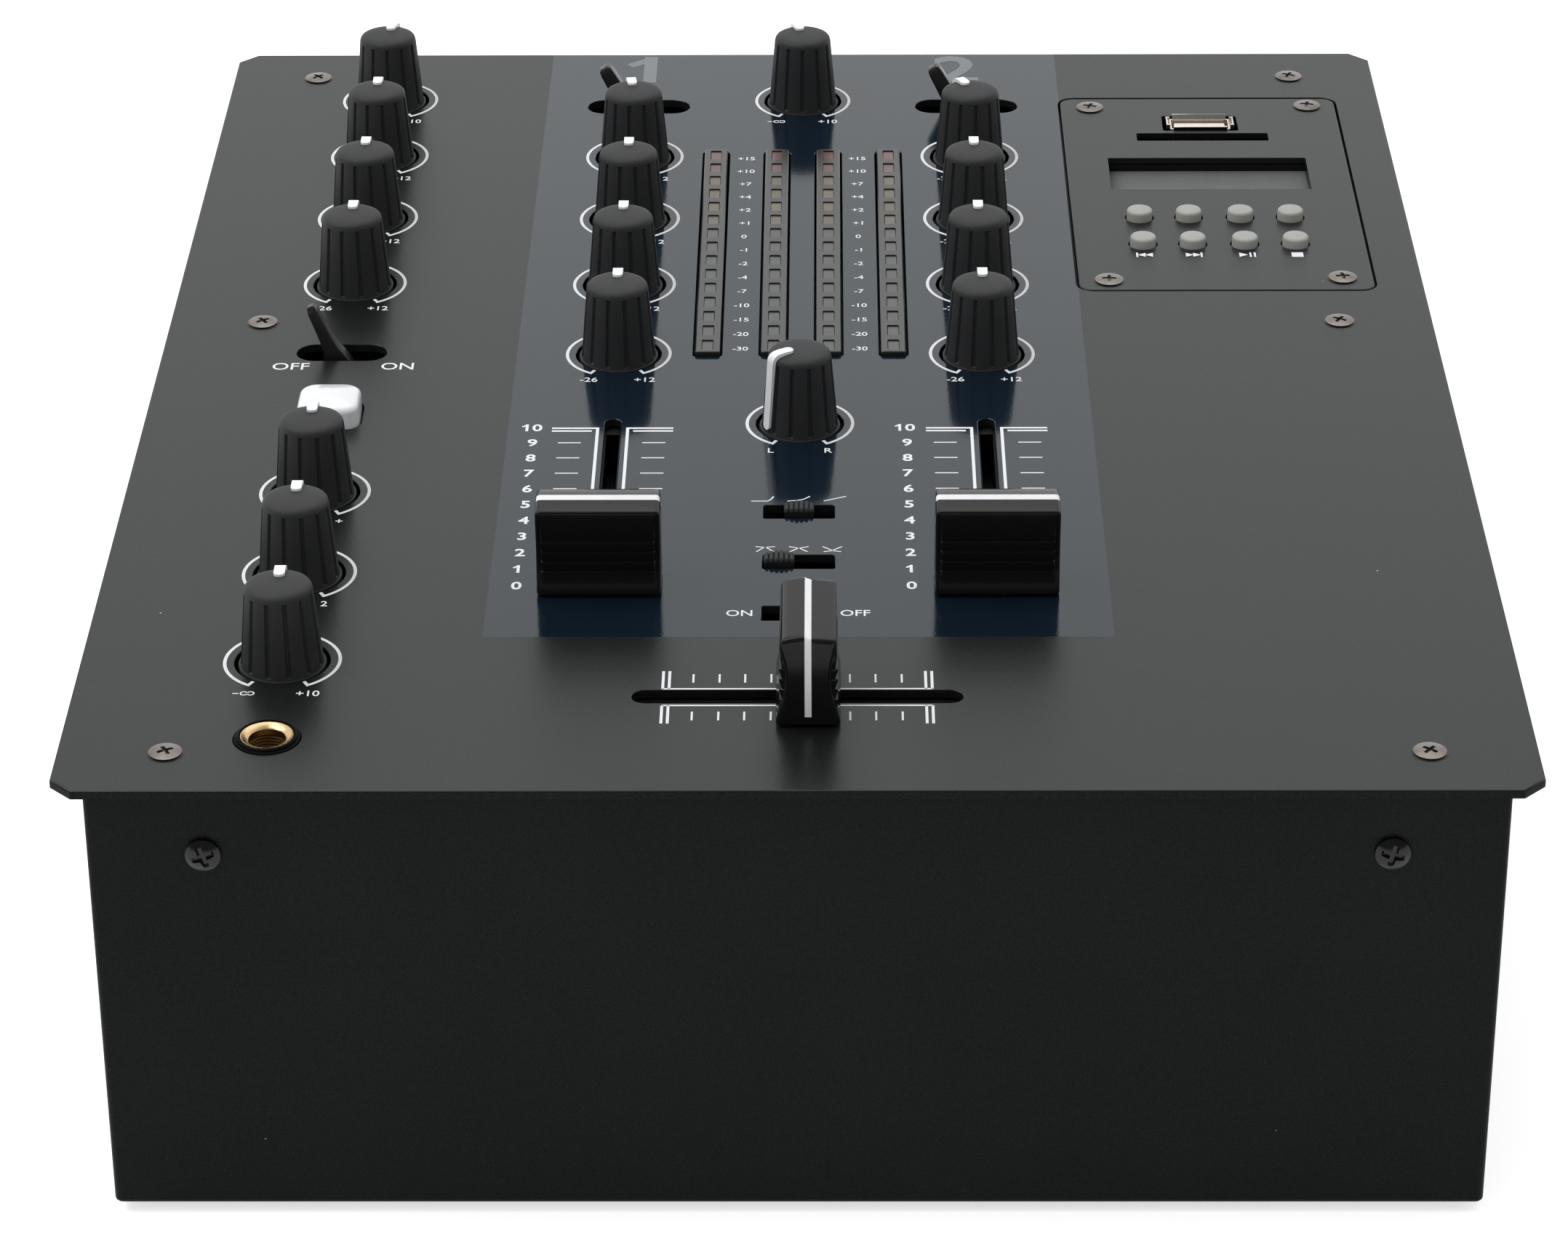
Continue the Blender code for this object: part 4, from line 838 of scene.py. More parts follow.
def powder_paint(name, sheen, shade=1.0, glossy_panel=False):
    """Matt black powder paint with a fine orange-peel, and a glossy blue-black panel over it if wanted."""
    paint = new_finish(
        name,
        Specular_IOR_Level=sheen,
        Specular_Tint=(0.86, 1.0, 0.985, 1),
        Coat_Roughness=0.06,
        Coat_IOR=1.45,
    )
    peel = paint.noise(1900, 3.0)
    cloud = paint.noise(28, 3.0)
    grain = (paint.noise(5200, 1.0) * 2.4 - 0.7).at_least(0.0).at_most(1.0)
    dust = paint.specks(95, 0.018, 0.14)
    low, high = POWDER_TONES
    colour = paint.blend(0.7 * grain + 0.3 * cloud, tinted(low, shade), tinted(high, shade))
    rough = 0.25 + 0.08 * peel + 0.05 * cloud
    coat, fleck = 0.0, 0.16
    if glossy_panel:
        fleck = 0.4
        x, y = paint.along("X"), paint.along("Y")
        panel = (x > GLOSS_SIDES[0]) * (x < GLOSS_SIDES[1]) * (y > FRONT_EDGE + GLOSS_FRONT)
        colour = paint.blend(panel, colour, (0.0055, 0.0115, 0.0205, 1))
        rough = rough * (1.0 - 0.65 * panel)
        coat = 0.19 * panel
        dust = dust + paint.specks(160, 0.02, 0.1) * panel
    colour = paint.blend(dust.at_most(1.0), colour, grey(fleck))
    paint.dents(peel, 0.00004, 0.35)
    return paint.show(Base_Color=colour, Roughness=rough, Coat_Weight=coat)


def moulded_black(name, tone, rough, grain, depth, sheen=0.5):
    """Black moulded plastic with a sparked grain, lightest where the grain stands up."""
    plastic = new_finish(name, Specular_IOR_Level=sheen)
    spark = plastic.noise(grain, 3.0)
    cloud = plastic.noise(60, 2.0)
    dust = plastic.specks(320, 0.03, 0.05)
    colour = plastic.blend(spark, tinted(tone, 0.75), tinted(tone, 1.3))
    colour = plastic.blend(dust, colour, grey(0.16))
    plastic.dents(spark, depth, 0.5)
    return plastic.show(Base_Color=colour, Roughness=rough - 0.04 + 0.12 * spark + 0.04 * cloud)


def pale_plastic(name, tone, rough, coat=0.0):
    """Pale moulded plastic, faintly mottled."""
    plastic = new_finish(name, Coat_Roughness=0.08)
    mottle = plastic.noise(420, 3.0)
    grain = plastic.noise(2600, 2.0)
    colour = plastic.blend(mottle, tinted(tone, 0.93), tinted(tone, 1.04))
    plastic.dents(grain, 0.00002, 0.3)
    return plastic.show(Base_Color=colour, Roughness=rough + 0.1 * grain, Coat_Weight=coat)


def ink(name, tone):
    """Screen-printed ink, a little uneven where the mesh of the screen lay."""
    print_ink = new_finish(name, Specular_IOR_Level=0.4)
    weave = print_ink.noise(3200, 1.0)
    wear = print_ink.noise(210, 4.0)
    colour = print_ink.blend(0.6 * weave + 0.4 * wear, tinted(tone, 0.82), tinted(tone))
    return print_ink.show(Base_Color=colour, Roughness=0.45 + 0.15 * weave)


def plated(name, tone, dark, rough, brushed=(1, 1, 1)):
    """Plated or bare metal, with fine working marks and a darker tarnish in patches."""
    metal = new_finish(name, Metallic=1.0)
    marks = metal.noise(900, 3.0, brushed)
    tarnish = metal.noise(260, 3.0)
    colour = metal.blend(tarnish, tinted(dark), tinted(tone))
    metal.dents(marks, 0.00002, 0.25)
    return metal.show(Base_Color=colour, Roughness=rough + 0.14 * marks)


def lamp_plastic(name, tone):
    """The diffusing window of an unlit meter lamp, each a little different."""
    lamp = new_finish(name, Specular_IOR_Level=0.5, Coat_Roughness=0.1)
    batch = lamp.noise(140, 1.0)
    haze = lamp.noise(1500, 2.0)
    colour = lamp.blend(batch, tinted(tone, 0.4), tinted(tone, 1.45))
    return lamp.show(Base_Color=colour, Roughness=0.25 + 0.15 * haze, Coat_Weight=0.25)


def circuit_board(name):
    """Dark green solder mask over copper tracks."""
    board = new_finish(name, Specular_IOR_Level=0.3)
    tracks = board.noise(130, 2.0) > 0.52
    weave = board.noise(1400, 2.0)
    colour = board.blend(tracks, (0.004, 0.02, 0.01, 1), (0.009, 0.035, 0.018, 1))
    board.dents(tracks, 0.00003, 0.4)
    return board.show(Base_Color=colour, Roughness=0.3 + 0.15 * weave)


def foot_rubber(name):
    """Soft black rubber, dull and dusty."""
    rubber = new_finish(name, Specular_IOR_Level=0.3)
    pores = rubber.noise(2200, 3.0)
    dust = rubber.noise(90, 3.0)
    colour = rubber.blend(dust, (0.009, 0.009, 0.009, 1), (0.022, 0.022, 0.021, 1))
    rubber.dents(pores, 0.00005, 0.6)
    return rubber.show(Base_Color=colour, Roughness=0.75 + 0.15 * pores)


def display_glass(name):
    """The unlit display: a grey-green film with faint columns, behind a dull cover."""
    glass = new_finish(name, Specular_IOR_Level=0.15)
    haze = glass.noise(350, 2.0)
    columns = glass.noise(900, 0.0, (1, 0.02, 1))
    colour = glass.blend(0.6 * haze + 0.4 * columns, (0.11, 0.117, 0.113, 1), (0.143, 0.151, 0.146, 1))
    return glass.show(Base_Color=colour, Roughness=0.42 + 0.1 * haze)


FACEPLATE_PAINT = powder_paint("faceplate paint", 0.268, glossy_panel=True)
MODULE_PAINT = powder_paint("module paint", 0.28)
# Also put on the faceplate's cut edges and hole walls, where this darker copy of the paint is painted shade
TUB_PAINT = powder_paint("tub paint", 0.045, 1.35)
KNOB_PLASTIC = moulded_black("knob plastic", (0.027, 0.0279, 0.0294), 0.52, 2100, 0.00005, 0.22)
SWITCH_PLASTIC = moulded_black("switch plastic", (0.012, 0.012, 0.0125), 0.28, 1800, 0.00001)
FADER_PLASTIC = moulded_black("fader plastic", (0.0074, 0.0078, 0.0072), 0.13, 2400, 0.000004, 0.16)
NUT_PLASTIC = moulded_black("nut plastic", (0.005, 0.005, 0.005), 0.3, 1500, 0.00001, 0.02)
SOCKET_PLASTIC = moulded_black("socket plastic", (0.012, 0.012, 0.012), 0.35, 1500, 0.00002)
METER_PLASTIC = moulded_black("meter plastic", (0.018, 0.019, 0.0165), 0.2, 900, 0.000002)
WHITE_PLASTIC = pale_plastic("white plastic", (0.83, 0.845, 0.87), 0.2, 0.6)
POINTER_PLASTIC = pale_plastic("pointer plastic", (0.88, 0.89, 0.91), 0.3)
GREY_PLASTIC = pale_plastic("grey plastic", (0.36, 0.36, 0.338), 0.45)
RED_PLASTIC = pale_plastic("red insulator", (0.42, 0.02, 0.018), 0.3)
CREAM_PLASTIC = pale_plastic("cream insulator", (0.86, 0.78, 0.7), 0.35, 0.3)
WHITE_INK = ink("white ink", (0.9, 0.92, 0.95))
FAINT_INK = ink("faint ink", (0.2, 0.22, 0.24))
NICKEL = plated("nickel plate", (0.74, 0.7, 0.64), (0.5, 0.46, 0.41), 0.2)
SCREW_NICKEL = plated("screw plate", (0.27, 0.245, 0.222), (0.07, 0.061, 0.055), 0.2)
BLACK_SCREW = moulded_black("black screw", (0.006, 0.006, 0.0065), 0.14, 900, 0.000002, 0.3)
BRASS = plated("brass", (0.69, 0.51, 0.29), (0.44, 0.31, 0.16), 0.2)
# Brass of the jack bores, darker than the lip: partly tarnish, partly painted shade inside the bore
TARNISHED_SHADED_BRASS = plated("tarnished brass with painted shade", (0.21, 0.115, 0.04), (0.07, 0.036, 0.012), 0.34, (1, 1, 0.15))
ZINC = plated("zinc steel", (0.52, 0.53, 0.54), (0.36, 0.37, 0.38), 0.38, (1, 0.1, 1))
FADER_STEEL = plated("fader steel", (0.03, 0.03, 0.031), (0.012, 0.012, 0.0125), 0.5)
CORE_STEEL = plated("core steel", (0.33, 0.33, 0.34), (0.16, 0.15, 0.15), 0.45, (1, 1, 12))
BOARD_GREEN = circuit_board("board green")
RUBBER = foot_rubber("foot rubber")
DISPLAY_GLASS = display_glass("display glass")
LAMP_RED = lamp_plastic("red lamp", (0.085, 0.021, 0.021))
LAMP_AMBER = lamp_plastic("amber lamp", (0.075, 0.061, 0.03))
LAMP_GREEN = lamp_plastic("green lamp", (0.018, 0.027, 0.025))


# Housing ----------------------------------------------------------------------------------------------


def flat_opening(spot, width, depth, corner, steps=CORNER_STEPS):
    """An opening in the faceplate, on the drawing's y."""
    return opening(spot[0], FRONT_EDGE + spot[1], width, depth, corner, steps)


def make_faceplate():
    """The faceplate: cut corners, a hole for every control, and painted shade on the sheet's cut edges and
    hole walls.
    """
    openings = [hole(x, FRONT_EDGE + y, KNOB_HOLE) for x, y, *_ in KNOBS.values()]
    for x, y, length, *_ in LEVERS.values():
        openings.append(flat_opening((x, y), length, LEVER_SLOT_WIDTH, LEVER_SLOT_WIDTH / 2))
    for _, y in SLIDERS.values():
        openings.append(flat_opening((0, y), *SLIDER_SLOT, 0.0004))
    for x in (CH1_X, CH2_X):
        openings.append(flat_opening((x, CHANNEL_MIDDLE), *CHANNEL_SLOT, CHANNEL_SLOT[0] / 2))
    openings.append(flat_opening((0, CROSS_REST[1]), *CROSS_SLOT, CROSS_SLOT[1] / 2))
    for x in METER_XS:
        openings.append(flat_opening((x, METER_MIDDLE), *METER_WINDOW, 0.0009))
    openings.append(flat_opening(BUTTON_SPOT, BUTTON_HOLE, BUTTON_HOLE, BUTTON_HOLE_CORNER))
    openings.append(hole(PHONES_SPOT[0], FRONT_EDGE + PHONES_SPOT[1], JACK_HOLE))
    pocket = [side + 2 * MODULE_POCKET for side in MODULE_SIZE]
    openings.append(flat_opening(MODULE_CENTRE, *pocket, MODULE_CORNER + MODULE_POCKET))
    outline = flat_opening((0, PLATE_SIZE[1] / 2), *PLATE_SIZE, PLATE_CORNER, 1)
    rim = quarter_round(PLATE_EDGE, PLATE_THICKNESS)
    sheet = pierced_sheet(outline, openings, rim, cut_lip(HOLE_EDGE, PLATE_THICKNESS))
    # The cut edges and hole walls take the tub paint, a darker copy of the faceplate paint, as painted shade
    # on them
    for face in sheet.faces:
        face.material_index = int(abs(face.normal.z) < 0.5)
    placed(sheet, (0, 0, PLATE_TOP))
    plate = piece("faceplate", sheet, FACEPLATE_PAINT, "housing", ["top_plate"])
    # Second material: the darker tub paint, painted shade on the edges and hole walls
    plate.data.materials.append(TUB_PAINT)

    outside = flat_opening(MODULE_CENTRE, *[side + 2 * LEDGE_OUTWARDS for side in pocket], MODULE_CORNER)
    inside = flat_opening(MODULE_CENTRE, *[side - 2 * LEDGE_INWARDS for side in MODULE_SIZE], 0.001)
    ledge = pierced_sheet(outside, [inside], straight(SHEET), straight(SHEET))
    placed(ledge, (0, 0, PLATE_TOP - PLATE_THICKNESS))
    piece("module_ledge", ledge, TUB_PAINT, "housing")


def rear_plug(radius, place):
    """A short rod through the back wall, for a hole there."""
    plug = turned([(0, 0.003), (radius, 0.003), (radius, -0.003), (0, -0.003)], SMALL_SIDES)
    return placed(plug, place, FACING_BACK)


def phono_posts(x):
    """The posts of a block of phono sockets, each with its row: 1 above, -1 below."""
    return [
        (row, Vector((x + side * PHONO_SPREAD, REAR_WALL, REAR_ROW + row * PHONO_SPREAD)))
        for side in (-1, 1)
        for row in (-1, 1)
    ]


def make_tub():
    """The folded steel box: rounded bends, and holes in its back wall for the connectors."""
    width, depth, height = TUB_SIZE
    outer = opening(0, TUB_CENTRE_Y, width, depth, TUB_BEND)
    inner = opening(0, TUB_CENTRE_Y, width - 2 * SHEET, depth - 2 * SHEET, 0.0003)
    shape = bmesh.new()
    outside = add_line(shape, outer, 0.0)
    inside = add_line(shape, inner, 0.0)
    bmesh.ops.triangle_fill(shape, edges=outside + inside, use_beauty=True, normal=(0, 0, 1))
    bend = quarter_round(TUB_BEND, TUB_BEND)[::-1]
    walls = [(0.0, 0.0)] + [(-height - low - TUB_BEND, grow) for low, grow in bend[1:]]
    under = carried_down(shape, outside, outer, walls)
    floor = carried_down(shape, inside, inner, [(0.0, 0.0), (SHEET - height, 0.0)])
    bmesh.ops.contextual_create(shape, geom=under)
    bmesh.ops.contextual_create(shape, geom=floor)
    bmesh.ops.recalc_face_normals(shape, faces=shape.faces)
    placed(shape, (0, 0, TUB_LOW + height))
    cutters = []
    for x in PHONO_BLOCKS.values():
        cutters += [rear_plug(PHONO_RADIUS + WALL_GAP, post) for _, post in phono_posts(x)]
    cutters.append(rear_plug(JACK_HOLE, (MIC_JACK_X, REAR_WALL, REAR_ROW)))
    cutters.append(rear_plug(GROUND_HOLE, (GROUND_X, REAR_WALL, REAR_ROW)))
    slab = block((INLET_BODY[0] + 2 * WALL_GAP, 0.006, INLET_BODY[1] + 2 * WALL_GAP))
    cutters.append(placed(slab, (INLET_X, REAR_WALL, REAR_ROW)))
    tub = carved(shape, joined(cutters))
    for face in tub.faces:
        face.smooth = face.calc_area() < 2e-4
    piece("tub", tub, TUB_PAINT, "housing", ["chassis_tub"])


def make_feet():
    """Four moulded rubber feet, each with a hollow under it for its screw."""
    profile = [
        (0.0, 0.0012),
        (0.0026, 0.0012),
        (0.0027, 0.0),
        (0.0064, 0.0),
        (0.0068, 0.0002),
        (0.007, 0.0006),
        (0.0079, 0.0022),
        (0.008, 0.0027),
        (0.0, 0.0027),
    ]
    nodes = ["front_left_foot", "back_left_foot", "front_right_foot", "back_right_foot"]
    for (x, y), node in zip(FOOT_SPOTS, nodes):
        piece(f"{node}_rubber", placed(turned(profile, 40), (x, y, 0)), RUBBER, "housing", [node])


def screw_head(radius, crown, seat, cross):
    """A raised screw head with a cross recess, its seat at z = 0."""
    steps = 6
    profile = [(0.0, seat + crown)]
    for k in range(1, steps + 1):
        share = k / steps
        profile.append((radius * share, seat + crown * (1 - share * share)))
    profile += [(radius, 0.0), (radius * 0.97, -0.0004), (0.0, -0.0004)]
    floor, wide = seat + crown - SCREW_RECESS, 0.28 * cross
    outline = opening(0, 0, 1, 1, 0.0001)
    slots = [
        grown(outline, [(floor, 1.2 * cross, wide), (0.003, 3 * cross, 2.6 * wide)]),
        grown(outline, [(floor, wide, 1.2 * cross), (0.003, 2.6 * wide, 3 * cross)]),
    ]
    return smoothed(carved(turned(profile, SMALL_SIDES), joined(slots)))


def make_screws():
    """Cross-head screws: raised nickel ones on top, black pan heads on the front."""
    raised = screw_head(*RAISED_HEAD)
    tops = []
    for k, spot in enumerate(PLATE_SCREWS + MODULE_SCREWS):
        tops.append(copy_of(raised, on_plate(spot), Matrix.Rotation(0.5 + 1.7 * k, 4, "Z")))
    raised.free()
    piece("top_screws", joined(tops), SCREW_NICKEL, "housing")
    # Black rings a little wider than the raised heads, under them: painted shade round the foot of each head
    shade_ring = [(0.0, 0.0), (SCREW_RADIUS + 0.0003, 0.0), (SCREW_RADIUS + 0.00035, 0.00006), (0.0, 0.00012)]
    shade_rings = [placed(turned(shade_ring, SMALL_SIDES), on_plate(spot)) for spot in PLATE_SCREWS + MODULE_SCREWS]
    piece("screw_shade_rings", joined(shade_rings), BLACK_SCREW, "housing")
    pan = screw_head(*PAN_HEAD)
    fronts = []
    for k, (x, z) in enumerate(FRONT_SCREWS):
        turn = FACING_FRONT @ Matrix.Rotation(0.35 - 0.6 * k, 4, "Z")
        fronts.append(copy_of(pan, (x, FRONT_WALL, z), turn))
    pan.free()
    piece("front_screws", joined(fronts), BLACK_SCREW, "housing")


# Printing ---------------------------------------------------------------------------------------------


def lettering(text, height, bold):
    """Flat letters about the origin, with capitals of that height."""
    curve = bpy.data.curves.new("lettering", "FONT")
    curve.body = text
    curve.size = height / LETTER_SHARE
    curve.offset = bold * height
    curve.resolution_u = 3
    curve.fill_mode = "FRONT"
    obj = in_scene("lettering", curve)
    depsgraph = bpy.context.evaluated_depsgraph_get()
    mesh = bpy.data.meshes.new_from_object(obj.evaluated_get(depsgraph))
    shape = bmesh.new()
    shape.from_mesh(mesh)
    bpy.data.objects.remove(obj)
    bpy.data.curves.remove(curve)
    bpy.data.meshes.remove(mesh)
    xs, ys = [vert.co.x for vert in shape.verts], [vert.co.y for vert in shape.verts]
    middle = ((min(xs) + max(xs)) / 2, (min(ys) + max(ys)) / 2, 0)
    bmesh.ops.translate(shape, vec=[-side for side in middle], verts=shape.verts)
    return shape


def arc(radius, width, start, sweep, steps):
    """A flat band of a ring, from a start angle through a sweep in degrees."""
    shape = bmesh.new()
    ends = [shape.verts.new((radius + side * width / 2, 0, 0)) for side in (-1, 1)]
    edge = shape.edges.new(ends)
    bmesh.ops.spin(
        shape,
        geom=ends + [edge],
        cent=(0, 0, 0),
        axis=(0, 0, 1),
        angle=math.radians(sweep),
        steps=steps,
        use_merge=sweep == 360,
    )
    bmesh.ops.remove_doubles(shape, verts=shape.verts, dist=WELD)
    return placed(shape, (0, 0, 0), turn_about("Z", start))


def stroke(points, width):
    """A flat band along a line of points."""
    shape = bmesh.new()
    path = [Vector((*point, 0)) for point in points]
    edges = []
    for k, point in enumerate(path):
        way = path[min(k + 1, len(path) - 1)] - path[max(k - 1, 0)]
        across = way.normalized().cross(Vector((0, 0, 1))) * width / 2
        if not edges:
            ends = [shape.verts.new(point - across), shape.verts.new(point + across)]
            edges = [shape.edges.new(ends)]
            continue
        edges, ends = new_edges(bmesh.ops.extrude_edge_only(shape, edges=edges))
        side = 1 if (ends[1].co - ends[0].co).dot(across) > 0 else -1
        for vert, way_out in zip(ends, (-side, side)):
            vert.co = point + way_out * across
    return shape


def bar(x0, y0, x1, y1):
    """A flat rectangle between two corners."""
    shape = bmesh.new()
    place = Matrix.Translation(((x0 + x1) / 2, (y0 + y1) / 2, 0))
    size = Matrix.Diagonal((abs(x1 - x0), abs(y1 - y0), 1, 1))
    bmesh.ops.create_grid(shape, x_segments=1, y_segments=1, size=0.5, matrix=place @ size)
    return shape


def triangle(size, way):
    """A flat triangle that points to the right, or to the left if way is -1."""
    shape = bmesh.new()
    bmesh.ops.create_circle(shape, cap_ends=True, segments=3, radius=size)
    return placed(shape, (0, 0, 0), turn_about("Z", -90 * way))


def endless_sign(height):
    """A minus sign and a lying eight, drawn with two rings."""
    signs = [stroke([(-1.15 * height, 0), (-0.6 * height, 0)], 0.16 * height)]
    for x in (-0.1, 0.52):
        signs.append(placed(arc(0.31 * height, 0.14 * height, 0, 360, 20), (x * height, 0, 0)))
    return joined(signs)


def figure(text, height, bold):
    """A number whose leading 1 gets a flag, which ends at its stem."""
    number = lettering(text, height, bold)
    if text[0] != "1":
        return number
    stem = min(vert.co.x for vert in number.verts)
    tip, root = (stem - 0.22 * height, 0.15 * height), (stem + 0.1 * height, 0.41 * height)
    flag = stroke([tip, root], 0.165 * height)
    bmesh.ops.bisect_plane(
        flag,
        geom=flag.verts[:] + flag.edges[:] + flag.faces[:],
        plane_co=(stem, 0, 0),
        plane_no=(1, 0, 0),
        clear_outer=True,
    )
    return joined([number, flag])


def printed(name, shapes, finish):
    """Flat shapes on the drawing of the faceplate, as a film of ink on it."""
    film = joined(shapes)
    for face in film.faces:
        if face.normal.z < 0:
            face.normal_flip()
    bmesh.ops.solidify(film, geom=film.faces[:], thickness=INK_THICKNESS)
    lowest = min(vert.co.z for vert in film.verts)
    placed(film, (0, FRONT_EDGE, PLATE_TOP - INK_SUNK - lowest))
    bmesh.ops.recalc_face_normals(film, faces=film.faces)
    return piece(name, film, finish, "housing")


def dial_marks():
    """The ring round each knob, open to the front, with its end ticks and the marks under them."""
    shapes = []
    for x, y, _, low, high in KNOBS.values():
        sweep = 360 - 2 * DIAL_GAP
        marks = [arc(DIAL_RADIUS, DIAL_STROKE, DIAL_GAP - 90, sweep, DIAL_STEPS)]
        for side in (-1, 1):
            outer = DIAL_RADIUS - DIAL_STROKE / 2
            tick = bar(outer - DIAL_TICK, 0, outer, side * DIAL_STROKE)
            marks.append(placed(tick, (0, 0, 0), turn_about("Z", -90 + side * DIAL_GAP)))
        for side, text in ((-1, low), (1, high)):
            sign = endless_sign(MARK_HEIGHT) if text == "-o" else lettering(text, MARK_HEIGHT, MARK_BOLD)
            marks.append(placed(sign, (side * MARK_REACH, -MARK_DROP, 0)))
        shapes.append(placed(joined(marks), (x, y, 0)))
    return shapes


def fader_scales():
    """Ten-step scales beside the channel faders."""
    shapes = []
    near, far = SCALE_TICK
    for x, number_x in zip((CH1_X, CH2_X), SCALE_NUMBER_XS):
        for step in range(11):
            y = SCALE_FIRST + SCALE_PITCH * step
            shapes.append(placed(figure(str(step), SCALE_FIGURE, FIGURE_BOLD), (number_x, y, 0)))
            if step < 10:
                for side in (-1, 1):
                    shapes.append(bar(x + side * near, y - TICK_HALF, x + side * far, y + TICK_HALF))
        for side in (-1, 1):
            for x0, y0, x1, y1 in SCALE_BARS:
                shapes.append(bar(x + side * x0, y0, x + side * x1, y1))
    return shapes


def cross_scale():
    """The ladder along the crossfader's slot."""
    shapes = []
    for y, way in CROSS_RAILS:
        shapes.append(bar(-CROSS_ENDS[0], y - RAIL_HALF, CROSS_ENDS[0], y + RAIL_HALF))
        near, far = [y + way * reach for reach in CROSS_TICK]
        for side in (-1, 1):
            for x in CROSS_ENDS:
                end = y + way * CROSS_END_REACH
                shapes.append(bar(side * x - END_HALF, y, side * x + END_HALF, end))
            for x in CROSS_TICKS:
                shapes.append(bar(side * x - TICK_HALF, near, side * x + TICK_HALF, far))
    return shapes


def curve_signs():
    """Small drawings of the fader curves above their switches."""
    knee = [(-0.0022, -0.0008), (0.0009, -0.0008), (0.0014, -0.0003), (0.002, 0.0011)]
    bow = [(-0.0022, -0.0008), (-0.0006, -0.0006), (0.0008, -0.0001), (0.002, 0.0011)]
    slope = [(-0.0022, -0.0008), (0.002, 0.0011)]
    shapes = [
        placed(stroke(line, 0.00028), (x, CURVE_ROWS[0], 0))
        for x, line in ((-0.0068, knee), (0.0, bow), (0.0068, slope))
    ]
    for x, level in ((-0.0062, 0.0006), (0.0, 0.0002), (0.0062, -0.0008)):
        for way in (-1, 1):
            fall = [(-way * 0.0018, 0.0009), (way * 0.0002, level), (way * 0.0016, -0.0011)]
            shapes.append(placed(stroke(fall, 0.00026), (x, CURVE_ROWS[1], 0)))
    return shapes


def meter_numbers():
    """The meter's decibel scale, once each side of the master bars."""
    shapes = []
    for x in METER_SCALE_XS:
        for k, text in enumerate(METER_SCALE):
            number = lettering(text, METER_FIGURE, METER_BOLD)
            shapes.append(placed(number, (x, METER_FIRST + k * METER_PITCH, 0)))
    return shapes


def switch_words():
    """ON and OFF beside the switches."""
    return [placed(lettering(text, height, WORD_BOLD), (x, y, 0)) for text, height, x, y in SWITCH_WORDS]


def player_symbols():
    """Back, forward, play and stop under the lower row of player buttons."""
    back = [bar(-0.0017, -0.0011, -0.0013, 0.0011)]
    back += [placed(triangle(0.0011, -1), (x, 0, 0)) for x in (-0.0003, 0.0012)]
    ahead = [bar(0.0013, -0.0011, 0.0017, 0.0011)]
    ahead += [placed(triangle(0.0011, 1), (x, 0, 0)) for x in (-0.0012, 0.0003)]
    play = [placed(triangle(0.0012, 1), (-0.0009, 0, 0))]
    play += [bar(x - 0.0002, -0.0011, x + 0.0002, 0.0011) for x in (0.0008, 0.0017)]
    stop = [bar(-0.0012, -0.0011, 0.0012, 0.0011)]
    signs = zip(PLAYER_BUTTON_XS, (back, ahead, play, stop))
    return [placed(joined(sign), (x, SYMBOL_Y, 0)) for x, sign in signs]


def make_printing():
    """White markings over the whole faceplate, and the two faint channel numbers at its back."""
    shapes = dial_marks() + fader_scales() + cross_scale() + curve_signs()
    shapes += meter_numbers() + switch_words()
    printed("faceplate_printing", shapes, WHITE_INK)
    printed("player_printing", player_symbols(), WHITE_INK)
    numbers = []
    for text, x in CHANNEL_FIGURES.items():
        numbers.append(placed(figure(text, CHANNEL_FIGURE, FIGURE_BOLD), (x, CHANNEL_FIGURE_Y, 0)))
    printed("channel_numbers", numbers, FAINT_INK)


# Controls ---------------------------------------------------------------------------------------------


def fluted_knob():
    """A tapered knob with twelve squared grooves round it, a domed top and a thin skirt."""
    steps = KNOB_FLUTES * KNOB_STEPS
    knob = turned(KNOB_PROFILE, steps)
    pitch = math.tau / KNOB_FLUTES
    half = GROOVE_COLUMNS / KNOB_STEPS / 2
    grooves = []
    for face in knob.faces:
        middle = face.calc_center_median()
        flute = math.atan2(middle.x, middle.y) / pitch - 0.5
        if abs(flute - round(flute)) < half and GROOVE_FOOT < middle.z < GROOVE_TOP:
            grooves.append(face)
    bmesh.ops.inset_region(
        knob, faces=grooves, use_even_offset=True, thickness=GROOVE_SLOPE, depth=-GROOVE_DEPTH
    )
    return smoothed(knob)


def pointer_rib():
    """The white rib that runs from the knob's top over its shoulder and down its side."""
    return ribbon(POINTER_PATH, POINTER_WIDTH, POINTER_SUNK, POINTER_PROUD, 0.46 * POINTER_WIDTH)


def make_knobs():
    """Seventeen knobs at their photographed angles, each with its white pointer."""
    knob, rib = fluted_knob(), pointer_rib()
    for name, (x, y, clockwise, *_) in KNOBS.items():
        place, turn = on_plate((x, y)), turn_about("Z", -clockwise)
        piece(f"{name}_body", copy_of(knob, place, turn), KNOB_PLASTIC, name, [name])
        piece(f"{name}_pointer", copy_of(rib, place, turn), POINTER_PLASTIC, name)
    knob.free()
    rib.free()


